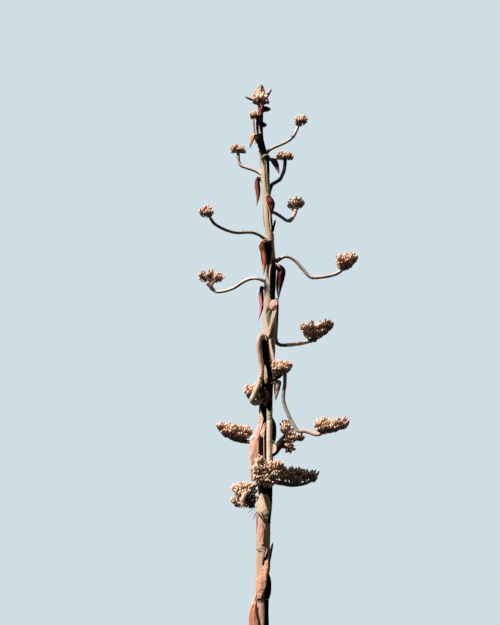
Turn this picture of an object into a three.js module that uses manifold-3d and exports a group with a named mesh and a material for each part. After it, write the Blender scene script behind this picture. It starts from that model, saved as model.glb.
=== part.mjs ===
// A flowering agave: a rosette of thick leaves, one tall stalk, side branches and their flower heads.
// Millimetres, +Z up, the origin at ground level under the foot of the stalk.
// Bearings are degrees from +X towards +Y, and "out" is measured from the stalk's middle line.
import * as THREE from 'three';
import { mergeVertices } from 'three/addons/utils/BufferGeometryUtils.js';
import Module from 'manifold-3d';

const wasm = await Module();
wasm.setup();
const { Manifold } = wasm;

const GAP = 0.3; // clearance between solids that touch on the plant
const CLOSE = 4; // a bud keeps this far from whatever isn't its own head
const MERGE = 1e-3; // corners nearer than this are one corner

const COLOURS = {
  stalk: '#b99a78',
  branch: '#a8906a',
  head: '#8d6a3c',
  bract: '#8a3b32',
  leaf: '#7d8c78',
};

// The stalk's bends: height, sideways lean and radius, from the flared foot to the apex.
const STALK_SIDES = 12;
const STALK = [
  [0, 0, 118],
  [130, 0, 112],
  [330, 0, 70],
  [420, 1, 57],
  [700, 2, 47],
  [1500, 6, 41],
  [2100, 21, 42],
  [2256, 29, 45],
  [2692, 30, 44],
  [3042, 43, 41],
  [3203, 55, 40],
  [3562, 61, 35],
  [3781, 74, 29],
  [3995, 58, 28],
  [4198, 43, 28],
  [4437, 34, 27],
  [4512, 25, 23],
  [4616, 2, 21],
  [4713, 2, 18],
  [4804, 5, 18],
  [4880, 8, 19],
  [4925, 4, 29],
  [4960, 9, 18],
  [5001, 12, 0],
];

// Bracts that clasp the stalk and belong to it: foot height, bearing, length, half width
// and how far the tip stands off the stalk.
const CLASPING = [
  [760, 155, 190, 34, 16],
  [1050, 290, 190, 32, 14],
  [1340, 185, 260, 34, 26],
  [1560, 330, 200, 32, 12],
  [1880, 355, 170, 30, 24],
  [2010, 235, 230, 34, 10],
  [2400, 192, 290, 38, 26],
  [2590, 5, 170, 32, 16],
  [2930, 170, 140, 30, 12],
  [3390, 290, 150, 28, 10],
];

// Short bracts that stand out of the stalk near its top: foot height, bearing, out, up, half width.
const STUBS = [
  [4860, 200, 84, 34, 9],
  [4862, 350, 74, 62, 9],
  [4748, 345, 70, 30, 14],
  [4790, 265, 38, 34, 13],
  [4672, 350, 42, 34, 14],
  [4070, 335, 48, 22, 9],
];

// Side branches: the foot's height on the stalk, the bearing, the radius, the places that the branch
// passes (out, up from the foot), then its flower head: how far it spreads along Y, how much it turns
// towards +Y for each millimetre across, the keel that runs on under it, and its rows of clusters.
// A row says where it starts and ends (across along X, up from the fork), how many clusters it has,
// and how large they are.
const BRANCHES = [
  {
    name: 'right_1', foot: 4506, bearing: 10, radius: 8.5,
    route: [[56, 48], [110, 75], [164, 106], [201, 144], [232, 208]],
    spread: 16, rows: [[4, 48, 37, 55, 2, 24], [17, 67, 17, 67, 1, 22]],
  },
  {
    name: 'left_1', foot: 4361, bearing: 170, radius: 9.5,
    route: [[51, 31], [84, 48], [131, 67], [164, 84], [178, 114], [182, 166]],
    spread: 20, rows: [[-27, 31, 24, 31, 2, 23], [-1, 43, -1, 43, 1, 23]],
  },
  {
    name: 'right_2', foot: 4225, bearing: 60, radius: 9.5,
    route: [[47, 54], [75, 96], [136, 134], [191, 170], [219, 206], [248, 256], [263, 324]],
    spread: 22, rows: [[-34, 29, 26, 29, 2, 25], [-7, 39, -7, 39, 1, 25]],
  },
  {
    name: 'right_3', foot: 4130, bearing: 56, radius: 10.5,
    route: [[114, 1], [186, -8], [248, -14], [291, 7], [323, 43], [349, 81]],
    spread: 24, rows: [[-36, 57, 33, 66, 3, 25], [8, 34, 8, 34, 1, 17]],
  },
  {
    name: 'left_2', foot: 3914, bearing: 206, radius: 9,
    route: [[49, 23], [85, 40], [128, 48], [178, 42], [235, 33], [291, 37], [347, 51], [396, 74], [424, 107]],
    spread: 18, rows: [[-43, 44, -7, 47, 2, 24], [-23, 65, -23, 65, 1, 22]],
  },
  {
    name: 'right_4', foot: 3761, bearing: 0, radius: 10,
    route: [[49, 36], [98, 56], [146, 36], [203, -27], [254, -80], [325, -80], [415, -60], [448, -40]],
    spread: 34, rows: [[-2, 82, 80, 97, 3, 28], [11, 42, 51, 62, 2, 22]],
  },
  {
    name: 'left_3', foot: 3635, bearing: 158, radius: 10.5,
    route: [[44, 27], [110, 48], [169, 39], [253, -3], [320, -18], [380, -15], [422, 22]],
    spread: 34, rows: [[-44, 72, 7, 79, 2, 26], [62, 75, 62, 75, 1, 26], [5, 84, 32, 66, 2, 20]],
  },
  {
    name: 'right_5', foot: 3510, bearing: 47, radius: 11,
    route: [[64, 14], [71, -15], [68, -101], [60, -220], [72, -251], [110, -258], [296, -221], [387, -194]],
    spread: 42, keel: [[60, 30], [118, 88]],
    rows: [[-28, 98, 15, 103, 2, 27], [72, 104, 132, 118, 3, 27], [34, 64, 34, 64, 1, 21]],
  },
  {
    name: 'left_4', foot: 3275, bearing: 225, radius: 15,
    route: [[76, 4], [94, -40], [84, -108], [70, -170], [67, -215], [92, -300], [143, -386], [152, -412],
      [126, -426], [92, -416]],
    spread: 24, rows: [[-68, 92, -31, 97, 2, 26], [13, 82, 42, 68, 2, 26], [-24, 43, 28, 26, 2, 22]],
  },
  {
    name: 'front_1', foot: 3012, bearing: 315, radius: 12,
    route: [[60, 0], [105, 6], [126, 18]],
    spread: 34, rows: [[-26, 56, 44, 64, 3, 27], [-4, 14, 24, 24, 2, 18]],
  },
  {
    name: 'right_6', foot: 3100, bearing: 345, radius: 11.5,
    route: [[81, 9], [108, -25], [112, -110], [102, -222], [131, -312], [178, -401], [196, -421],
      [240, -423], [315, -447], [346, -439]],
    spread: 40, keel: [[50, 8], [110, 28], [142, 58]],
    rows: [[-18, 55, 14, 76, 2, 26], [52, 58, 138, 70, 3, 29], [64, 36, 64, 36, 1, 20]],
  },
  {
    name: 'left_5', foot: 2592, bearing: 150, radius: 13,
    route: [[117, 33], [153, 38], [190, 47]],
    spread: 42, keel: [[-50, 14], [-88, 48]],
    rows: [[-110, 92, 54, 60, 5, 29], [-28, 46, -28, 46, 1, 23]],
  },
  {
    name: 'right_7', foot: 2529, bearing: 57, radius: 19,
    route: [[103, 36], [163, 80], [224, 125], [273, 150]],
    spread: 34,
    rows: [[-19, 91, 22, 32, 3, 26], [28, -10, 76, -2, 2, 27], [2, -42, -1, -84, 2, 26],
      [30, -97, 30, -97, 1, 16]],
  },
  {
    name: 'front_2', foot: 2850, bearing: 284, radius: 15.5,
    route: [[66, 0], [84, -36], [84, -270], [84, -400], [100, -448], [125, -440]],
    spread: 36,
    rows: [[-68, 90, -68, 90, 1, 25], [-84, 30, 42, 47, 4, 30], [-78, -24, 16, -18, 3, 28],
      [-22, -68, -22, -68, 1, 23]],
  },
  {
    name: 'right_8', foot: 2386, bearing: 35, radius: 15,
    route: [[81, -14], [127, -18]],
    spread: 42, recede: 0.7, keel: [[55, -8], [110, -3], [170, 15], [208, 42]],
    rows: [[12, 74, 206, 66, 5, 31], [100, 36, 100, 36, 1, 24]],
  },
  {
    name: 'left_6', foot: 2392, bearing: 240, radius: 15,
    route: [[107, -46], [180, -84], [241, -118], [271, -150], [265, -174]],
    spread: 26, keel: [[-34, 14], [-40, 56]],
    rows: [[-44, 102, 32, 110, 3, 25], [-12, 74, -12, 74, 1, 21], [-56, 24, -36, 5, 2, 22],
      [40, 12, 52, -10, 2, 23]],
  },
  {
    name: 'top', foot: 4616, bearing: 182, radius: 8,
    route: [[33, 33], [42, 88], [44, 136]],
    spread: 14, rows: [[-4, 35, 20, 35, 2, 21]],
  },
  {
    name: 'back_1', foot: 2330, bearing: 95, radius: 14,
    route: [[80, 4], [150, 24], [196, 62]],
    spread: 40, rows: [[-48, 60, 46, 62, 3, 27], [-18, 92, 20, 90, 2, 25]],
  },
  {
    name: 'back_2', foot: 2850, bearing: 100, radius: 13,
    route: [[80, 0], [150, 20], [196, 60]],
    spread: 38, rows: [[-38, 54, 36, 56, 2, 28], [2, 80, 2, 80, 1, 25]],
  },
  {
    name: 'back_3', foot: 3040, bearing: 65, radius: 12,
    route: [[90, 8], [170, 24], [212, 58]],
    spread: 36, rows: [[-30, 34, 30, 36, 2, 26], [4, 56, 4, 56, 1, 22]],
  },
];

// Dry bracts that hang from the stalk under the branches: foot height, bearing, width
// and the places that the bract passes (out, up from the foot).
const HANGING = [
  [4584, 226, 42, [[40, 26], [66, 34], [81, 15], [93, -20], [102, -58]]],
  [4466, 325, 36, [[20, 14], [44, 13], [71, -3], [90, -36], [103, -73], [117, -113]]],
  [4330, 168, 40, [[37, 20], [54, 25], [60, 5], [56, -40], [51, -95], [56, -170]]],
  [4218, 310, 42, [[34, -1], [52, -32], [54, -87], [42, -164]]],
  [3884, 226, 44, [[39, 24], [71, 16], [76, -11], [62, -48], [58, -101], [58, -154], [62, -201]]],
  [3745, 336, 44, [[38, 22], [62, 3], [71, -25], [64, -70], [54, -122], [50, -174], [50, -218]]],
  [3600, 165, 36, [[48, 25], [60, 20], [63, -10], [60, -67], [58, -107], [65, -152], [79, -201]]],
  [2986, 340, 40, [[43, -4], [66, 0], [77, -12], [72, -34], [64, -68], [59, -107]]],
];

// The rosette's tiers: height of the leaves' roots, how steeply they rise, how many, length and width.
const ROSETTE = [
  [36, 8, 9, 560, 150],
  [90, 28, 8, 540, 150],
  [152, 46, 8, 500, 135],
  [226, 60, 6, 440, 125],
  [312, 72, 5, 380, 105],
];
const LEAF_THICKNESS = 30;
const COLLAR = 16; // how far a tier's collar stands out of the stem
const COLLAR_HEIGHT = 48;

// A cluster's core: its size and how far it sits below the middle, as shares of the cluster's radius,
// how low a face still bears a bud, and how much the buds turn upward.
const CORE_SHARE = 0.95;
const CORE_DROP = 0.2;
const LOWEST_BUD = 0.1;
const UPWARD = 0.2;
const BUD_REACH = 1.3; // how far the buds reach, as a share of the cluster's radius
const NEIGHBOUR_SHARE = 1; // a bud that ends in this share of the next cluster is left out

const radians = THREE.MathUtils.degToRad;
const lerp = THREE.MathUtils.lerp;

/** Repeatable numbers from 0 to 1. */
function seeded(seed) {
  let state = seed;
  return () => {
    state = (state * 1664525 + 1013904223) % 4294967296;
    return state / 4294967296;
  };
}

/** A geometry with its shared corners merged and its flat faces dropped. */
function merged(geometry) {
  geometry.deleteAttribute('normal');
  geometry.deleteAttribute('uv');
  const tidy = mergeVertices(geometry, MERGE);
  const corners = tidy.index.array;
  const faces = [];
  for (let i = 0; i < corners.length; i += 3) {
    const [a, b, c] = corners.slice(i, i + 3);
    if (a !== b && b !== c && c !== a) faces.push(a, b, c);
  }
  tidy.setIndex(faces);
  return tidy;
}

/** A closed solid from a geometry, with its faces pointing out. */
function solidOf(geometry) {
  const tidy = merged(geometry);
  const faces = Array.from(tidy.index.array);
  const vertProperties = Float32Array.from(tidy.attributes.position.array);
  const build = () =>
    new Manifold(new wasm.Mesh({ numProp: 3, vertProperties, triVerts: Uint32Array.from(faces) }));
  const solid = build();
  if (solid.volume() > 0) return solid;
  faces.reverse();
  return build();
}

/** The largest piece of a solid: loose scraps and sealed hollows are left behind. */
function whole(solid) {
  const pieces = solid.decompose();
  return pieces.reduce((best, piece) => (piece.volume() > best.volume() ? piece : best));
}

/** The stalk's middle line and radius at a height. */
function stalkAt(height) {
  const above = STALK.findIndex(([z]) => z > height);
  const [z1, x1, r1] = STALK[above];
  const [z0, x0, r0] = STALK[above - 1];
  const t = (height - z0) / (z1 - z0);
  return { x: lerp(x0, x1, t), radius: lerp(r0, r1, t) };
}

/** A place given by its bearing and its way out and up from a foot on the stalk's middle line. */
function placeFrom(foot, bearing, out, up) {
  const { x } = stalkAt(foot);
  return new THREE.Vector3(x + out * Math.cos(bearing), out * Math.sin(bearing), foot + up);
}

/** A smooth curve from the stalk's middle line through the places of a route. */
function routeFrom(foot, bearing, route) {
  const places = [[0, 0], ...route].map(([out, up]) => placeFrom(foot, bearing, out, up));
  return new THREE.CatmullRomCurve3(places);
}

/** A limb or blade: a cylinder bent along a curve that stays in the upright plane of its bearing. */
function bent(curve, bearing, section, sides, steps) {
  const geometry = merged(new THREE.CylinderGeometry(1, 1, 1, sides, steps, false, Math.PI / 2));
  const across = new THREE.Vector3(-Math.sin(bearing), Math.cos(bearing), 0);
  const corners = geometry.attributes.position;
  for (let i = 0; i < corners.count; i++) {
    const t = THREE.MathUtils.clamp(corners.getY(i) + 0.5, 0, 1);
    const u = corners.getX(i);
    const { wide, deep, cup } = section(t);
    const place = curve.getPointAt(t);
    const back = new THREE.Vector3().crossVectors(across, curve.getTangentAt(t));
    place.addScaledVector(across, u * wide);
    place.addScaledVector(back, corners.getZ(i) * deep - cup * u * u);
    corners.setXYZ(i, place.x, place.y, place.z);
  }
  return solidOf(geometry);
}

/** A round limb, thicker at its foot. */
function limb(curve, bearing, radius, sides, steps, extra = 0) {
  const section = (t) => {
    const r = radius * (1 + 0.35 * Math.max(0, 1 - t * 6)) + extra;
    return { wide: r, deep: r, cup: 0 };
  };
  return bent(curve, bearing, section, sides, steps);
}

/** A channelled blade, widest part of the way along, that ends in a point. */
function blade(curve, bearing, { width, thickness, root, widest, cup }, steps) {
  const section = (t) => {
    const rise = root + (1 - root) * Math.sin((Math.min(t / widest, 1) * Math.PI) / 2);
    const fall = t > widest ? Math.cos((((t - widest) / (1 - widest)) * Math.PI) / 2) : 1;
    const wide = t < 1 ? (width / 2) * rise * fall : 0;
    const deep = t < 1 ? (thickness / 2) * (1 - 0.65 * t) : 0;
    return { wide, deep, cup: cup * wide };
  };
  return bent(curve, bearing, section, 6, steps);
}

/** A straight twig between two places. */
function rod(from, to, fromRadius, toRadius, sides) {
  const way = new THREE.Vector3().subVectors(to, from);
  const geometry = merged(new THREE.CylinderGeometry(toRadius, fromRadius, way.length(), sides, 1));
  geometry.translate(0, way.length() / 2, 0);
  const turn = new THREE.Quaternion().setFromUnitVectors(THREE.Object3D.DEFAULT_UP, way.normalize());
  geometry.applyQuaternion(turn);
  geometry.translate(from.x, from.y, from.z);
  return solidOf(geometry);
}

/** The stalk's body: a lathe profile leant along the stalk's bends. */
function stalkBody(extra) {
  const outline = STALK.map(([z, , r]) => new THREE.Vector2(r > 0 ? r + extra : 0, z));
  const geometry = merged(new THREE.LatheGeometry([new THREE.Vector2(0, 0), ...outline], STALK_SIDES));
  geometry.rotateX(Math.PI / 2);
  const corners = geometry.attributes.position;
  for (let i = 0; i < corners.count; i++) {
    const z = corners.getZ(i);
    const bend = STALK.find(([height]) => Math.abs(height - z) < 0.01);
    corners.setX(i, corners.getX(i) + bend[1]);
  }
  return solidOf(geometry);
}

/** A bract whose lower part hugs the stalk. */
function claspingBract([foot, degrees, length, halfWidth, standOff], extra) {
  const bearing = radians(degrees);
  const { radius } = stalkAt(foot);
  const curve = new THREE.CatmullRomCurve3([
    placeFrom(foot, bearing, radius - 8, 0),
    placeFrom(foot, bearing, radius + 1, length * 0.4),
    placeFrom(foot, bearing, radius + standOff, length),
  ]);
  const width = (halfWidth + extra) * 2;
  const shape = { width, thickness: 9 + extra * 2, root: 0.9, widest: 0.35, cup: 0.45 };
  return blade(curve, bearing, shape, 4);
}

/** A short bract that stands out of the stalk. */
function stubBract([foot, degrees, out, up, halfWidth], extra) {
  const bearing = radians(degrees);
  const curve = routeFrom(foot, bearing, [[out * 0.55, up * 0.35], [out, up]]);
  const width = (halfWidth + extra) * 2;
  const shape = { width, thickness: 9 + extra * 2, root: 0.8, widest: 0.5, cup: 0.3 };
  return blade(curve, bearing, shape, 4);
}

/** The whole stalk, grown on all sides by an extra amount. */
function stalkSolid(extra) {
  const bracts = CLASPING.map((bract) => claspingBract(bract, extra));
  const stubs = STUBS.map((stub) => stubBract(stub, extra));
  return Manifold.union([stalkBody(extra), ...bracts, ...stubs]);
}

const plant = new THREE.Group();

function addPart(name, solid, colour) {
  const { numProp, vertProperties, triVerts } = solid.getMesh();
  const geometry = new THREE.BufferGeometry();
  const corners = new THREE.InterleavedBuffer(vertProperties, numProp);
  geometry.setAttribute('position', new THREE.InterleavedBufferAttribute(corners, 3, 0));
  geometry.setIndex(new THREE.BufferAttribute(triVerts, 1));
  const material = new THREE.MeshStandardMaterial({ color: colour, roughness: 0.75, metalness: 0 });
  const mesh = new THREE.Mesh(geometry, material);
  mesh.name = name;
  plant.add(mesh);
}

const stalk = whole(stalkSolid(0));
const stalkGrown = stalkSolid(GAP);
addPart('stalk', stalk, COLOURS.stalk);

// Places that buds keep clear of, each a ball.
const taken = [];

function isClear(place) {
  if (place.z < STALK[STALK.length - 1][0]) {
    const { x, radius } = stalkAt(place.z);
    if (Math.hypot(place.x - x, place.y) < radius + CLOSE) return false;
  }
  return taken.every((ball) => ball.centre.distanceTo(place) > ball.radius + CLOSE);
}

function branchCurve({ foot, bearing, route }) {
  return routeFrom(foot, radians(bearing), route);
}

for (const branch of BRANCHES) {
  const curve = branchCurve(branch);
  for (const centre of curve.getSpacedPoints(60)) taken.push({ centre, radius: branch.radius });
}

const FIRST_SEED = 100;
const sidesFor = (radius) => (radius < 12 ? 5 : 6);
const STEP_LENGTH = 52; // a branch has about one ring for each of these lengths

const grownBranches = BRANCHES.map((branch) => {
  const curve = branchCurve(branch);
  const bearing = radians(branch.bearing);
  const steps = Math.max(4, Math.round(curve.getLength() / STEP_LENGTH));
  const solid = limb(curve, bearing, branch.radius, sidesFor(branch.radius), steps).subtract(stalkGrown);
  addPart(`branch_${branch.name}`, whole(solid), COLOURS.branch);
  return limb(curve, bearing, branch.radius, sidesFor(branch.radius), steps, GAP);
});

/** One cluster: a small core whose upper faces are drawn out into buds, but not into its neighbours. */
function cluster({ centre, radius }, neighbours, random) {
  const core = merged(new THREE.IcosahedronGeometry(radius * CORE_SHARE, 0));
  core.rotateZ(random() * Math.PI * 2);
  core.translate(centre.x, centre.y, centre.z - radius * CORE_DROP);
  const heart = new THREE.Vector3(centre.x, centre.y, centre.z - radius * CORE_DROP);
  const places = Array.from(core.attributes.position.array);
  const corner = (i) => new THREE.Vector3().fromArray(places, i * 3);
  const faces = [];
  const ring = core.index.array;
  for (let i = 0; i < ring.length; i += 3) {
    const [a, b, c] = ring.slice(i, i + 3);
    const middle = corner(a).add(corner(b)).add(corner(c)).divideScalar(3);
    const way = middle.clone().sub(heart).normalize();
    const upright = way.z > LOWEST_BUD;
    way.z += UPWARD;
    const reach = radius * BUD_REACH * (0.94 + 0.12 * random());
    const tip = centre.clone().addScaledVector(way.normalize(), reach);
    const open = neighbours.every((ball) => ball.centre.distanceTo(tip) > ball.radius * NEIGHBOUR_SHARE);
    if (upright && open && isClear(tip) && isClear(middle.lerp(tip, 0.5))) {
      const top = places.length / 3;
      places.push(tip.x, tip.y, tip.z);
      faces.push(a, b, top, b, c, top, c, a, top);
    } else {
      faces.push(a, b, c);
    }
  }
  const spiky = new THREE.BufferGeometry();
  spiky.setAttribute('position', new THREE.Float32BufferAttribute(places, 3));
  spiky.setIndex(faces);
  return solidOf(spiky);
}

/** The place on a keel to grow a cluster's twig from: short of the nearest point. */
function forkFor(keel, place) {
  const steps = 20;
  const apart = (i) => keel.getPointAt(i / steps).distanceTo(place);
  let best = 0;
  for (let i = 1; i <= steps; i++) {
    if (apart(i) < apart(best)) best = i;
  }
  return keel.getPointAt((best / steps) * 0.8);
}

/** A flower head: a stem that runs on from the branch, and rows of clusters on twigs. */
function head(branch, seed) {
  const random = seeded(seed);
  const curve = branchCurve(branch);
  const along = curve.getTangentAt(1);
  const fork = curve.getPointAt(1);
  const start = fork.clone().addScaledVector(along, GAP);
  const throat = fork.clone().addScaledVector(along, branch.radius * 1.6);
  const recede = branch.recede ?? 0;
  const fromFork = (across, up) => new THREE.Vector3(fork.x + across, fork.y + across * recede, fork.z + up);
  const stops = (branch.keel ?? []).map(([across, up]) => fromFork(across, up));
  const solids = [rod(start, throat, branch.radius, branch.radius * 0.9, 5)];
  let from = throat;
  for (const stop of stops) {
    solids.push(rod(from, stop, branch.radius * 0.75, branch.radius * 0.6, 5));
    from = stop;
  }
  const sunk = fork.clone().addScaledVector(along, branch.radius * 0.9);
  const keel = new THREE.CatmullRomCurve3([sunk, throat, ...stops]);
  const clusters = branch.rows.flatMap(([across0, up0, across1, up1, count, radius], row) =>
    Array.from({ length: count }, (_, i) => {
      const t = count > 1 ? i / (count - 1) : 0.5;
      const side = ((i + row) % 2 ? 1 : -1) * branch.spread * (0.75 + 0.5 * random());
      const shift = count > 1 || row === 0 ? side : side * 0.3;
      const centre = fromFork(lerp(across0, across1, t), lerp(up0, up1, t));
      centre.y += shift;
      return { centre, radius };
    }));
  for (const ball of clusters) {
    const root = ball.centre.clone();
    root.z -= ball.radius * 0.5;
    solids.push(cluster(ball, clusters.filter((other) => other !== ball), random));
    solids.push(rod(forkFor(keel, root), root, 5.5, 4, 3));
  }
  taken.push(...clusters);
  return Manifold.union(solids);
}

const limbsGrown = Manifold.union([stalkGrown, ...grownBranches]);

BRANCHES.forEach((branch, index) => {
  const clear = head(branch, FIRST_SEED + index).subtract(limbsGrown);
  addPart(`head_${branch.name}`, whole(clear), COLOURS.head);
});

/** The ring of buds round the stalk's apex. */
function crownRing() {
  const height = 4862;
  const count = 5;
  const radius = 24;
  const { x } = stalkAt(height);
  const random = seeded(77);
  const ring = merged(new THREE.TorusGeometry(29, 9, 5, 12));
  ring.translate(x, 0, height);
  const solids = [solidOf(ring)];
  const around = (reach, bearing, up) =>
    new THREE.Vector3(x + reach * Math.cos(bearing), reach * Math.sin(bearing), height + up);
  const bearings = Array.from({ length: count }, (_, i) => (i / count) * Math.PI * 2);
  const clusters = bearings.map((bearing, i) => ({ centre: around(37, bearing, 20 + (i % 2) * 16), radius }));
  clusters.forEach((ball, i) => {
    solids.push(cluster(ball, clusters.filter((other) => other !== ball), random));
    solids.push(rod(around(29, bearings[i], 0), ball.centre, 6, 5, 3));
  });
  return Manifold.union(solids).subtract(stalkGrown);
}

addPart('head_crown', whole(crownRing()), COLOURS.head);

HANGING.forEach(([foot, degrees, width, route], index) => {
  const bearing = radians(degrees);
  const curve = routeFrom(foot, bearing, route);
  const shape = { width, thickness: 7, root: 0.7, widest: 0.45, cup: 0.7 };
  const solid = blade(curve, bearing, shape, 6).subtract(stalkGrown);
  addPart(`bract_${index + 1}`, whole(solid), COLOURS.bract);
});

/** One tier of the rosette: a collar round the stem with its leaves fused on. */
function rosetteTier([height, rise, count, length, width], turn) {
  const { x, radius } = stalkAt(height);
  const low = height - COLLAR_HEIGHT / 2;
  const high = height + COLLAR_HEIGHT / 2;
  const [inner, outer] = [radius - 20, radius + COLLAR];
  const wall = [[inner, low], [outer, low], [outer, high], [inner, high], [inner, low]];
  const collar = merged(new THREE.LatheGeometry(wall.map(([r, z]) => new THREE.Vector2(r, z)), count));
  collar.rotateX(Math.PI / 2);
  collar.translate(x, 0, 0);
  const solids = [solidOf(collar)];
  const slope = radians(rise);
  for (let i = 0; i < count; i++) {
    const bearing = ((i + turn) / count) * Math.PI * 2;
    const bend = (part, more) => [
      radius - 12 + length * part * Math.cos(slope + more),
      length * part * Math.sin(slope + more),
    ];
    const places = [bend(0, 0), bend(0.35, 0), bend(0.7, 0.03), bend(1, 0.08)];
    const curve = new THREE.CatmullRomCurve3(places.map(([out, up]) => placeFrom(height, bearing, out, up)));
    const shape = { width, thickness: LEAF_THICKNESS, root: 0.5, widest: 0.6, cup: 0.28 };
    solids.push(blade(curve, bearing, shape, 4));
  }
  return Manifold.union(solids).subtract(stalkGrown);
}

ROSETTE.forEach((tier, index) => {
  addPart(`rosette_${index + 1}`, whole(rosetteTier(tier, (index % 2) / 2)), COLOURS.leaf);
});

export default plant;
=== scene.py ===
"""Dresses the frame of a flowering agave: its rosette, stalk, side branches, heads of buds and dry bracts.

Shapes are worked out in millimetres and made in metres, +Z up, with the origin at ground level under the
stalk. Bearings are degrees from +X towards +Y, and "out" is measured from the stalk's middle line.
"""
import math

import bpy
import numpy as np
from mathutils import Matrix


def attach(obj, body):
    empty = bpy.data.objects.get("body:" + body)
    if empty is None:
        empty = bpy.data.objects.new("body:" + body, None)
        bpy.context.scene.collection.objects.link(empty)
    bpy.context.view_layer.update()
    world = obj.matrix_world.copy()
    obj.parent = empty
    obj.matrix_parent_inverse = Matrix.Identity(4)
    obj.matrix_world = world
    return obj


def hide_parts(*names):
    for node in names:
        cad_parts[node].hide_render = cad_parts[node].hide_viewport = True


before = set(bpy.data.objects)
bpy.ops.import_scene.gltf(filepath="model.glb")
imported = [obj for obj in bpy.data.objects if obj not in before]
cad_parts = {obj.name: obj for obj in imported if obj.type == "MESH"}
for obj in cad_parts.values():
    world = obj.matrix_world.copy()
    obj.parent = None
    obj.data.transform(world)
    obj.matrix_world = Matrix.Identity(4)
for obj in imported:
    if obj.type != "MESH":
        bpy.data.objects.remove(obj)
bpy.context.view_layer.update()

MM = 0.001
EYE = (-64, 8655, 1500)  # the view's place: sideways, in front, up
UP = np.array([0.0, 0.0, 1.0])

# The stalk's bends, as in the solids: height, sideways lean and radius.
STALK = [
    (0, 0, 118), (130, 0, 112), (330, 0, 70), (420, 1, 57), (700, 2, 47), (1500, 6, 41), (2100, 21, 42),
    (2256, 29, 45), (2692, 30, 44), (3042, 43, 41), (3203, 55, 40), (3562, 61, 35), (3781, 74, 29),
    (3995, 58, 28), (4198, 43, 28), (4437, 34, 27), (4512, 25, 23), (4616, 2, 21), (4713, 2, 18),
    (4804, 5, 18), (4880, 8, 19), (4925, 4, 29), (4960, 9, 18), (5001, 12, 0),
]
STALK_STEP = 4.2  # from one row of the skin's corners to the next
STALK_SIDES = 64

# Sheaths that clasp the stalk: foot height, bearing, length, half angle at the foot and stand-off.
SHEATHS = [
    (760, 155, 190, 62, 16), (1050, 290, 190, 60, 14), (1300, 60, 260, 62, 20), (1560, 100, 200, 60, 12),
    (1820, 30, 170, 58, 18), (2060, 130, 200, 60, 10), (2440, 60, 220, 60, 18), (2700, 78, 170, 58, 12),
    (2930, 130, 140, 58, 12), (3390, 100, 150, 62, 10),
]

# Short bracts that stand out near the top: foot height, bearing, out, up, half width, and 1 where pale.
STUBS = [
    (4870, 190, 112, 32, 13, 0), (4874, 191, 106, 34, 6, 1), (4874, 350, 70, 92, 14, 1),
    (4870, 4, 74, 94, 17, 0), (4804, 345, 72, 14, 32, 0), (4698, 350, 46, 16, 32, 0),
    (4800, 80, 62, 30, 16, 0), (4725, 120, 50, 24, 14, 0),
]

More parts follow.
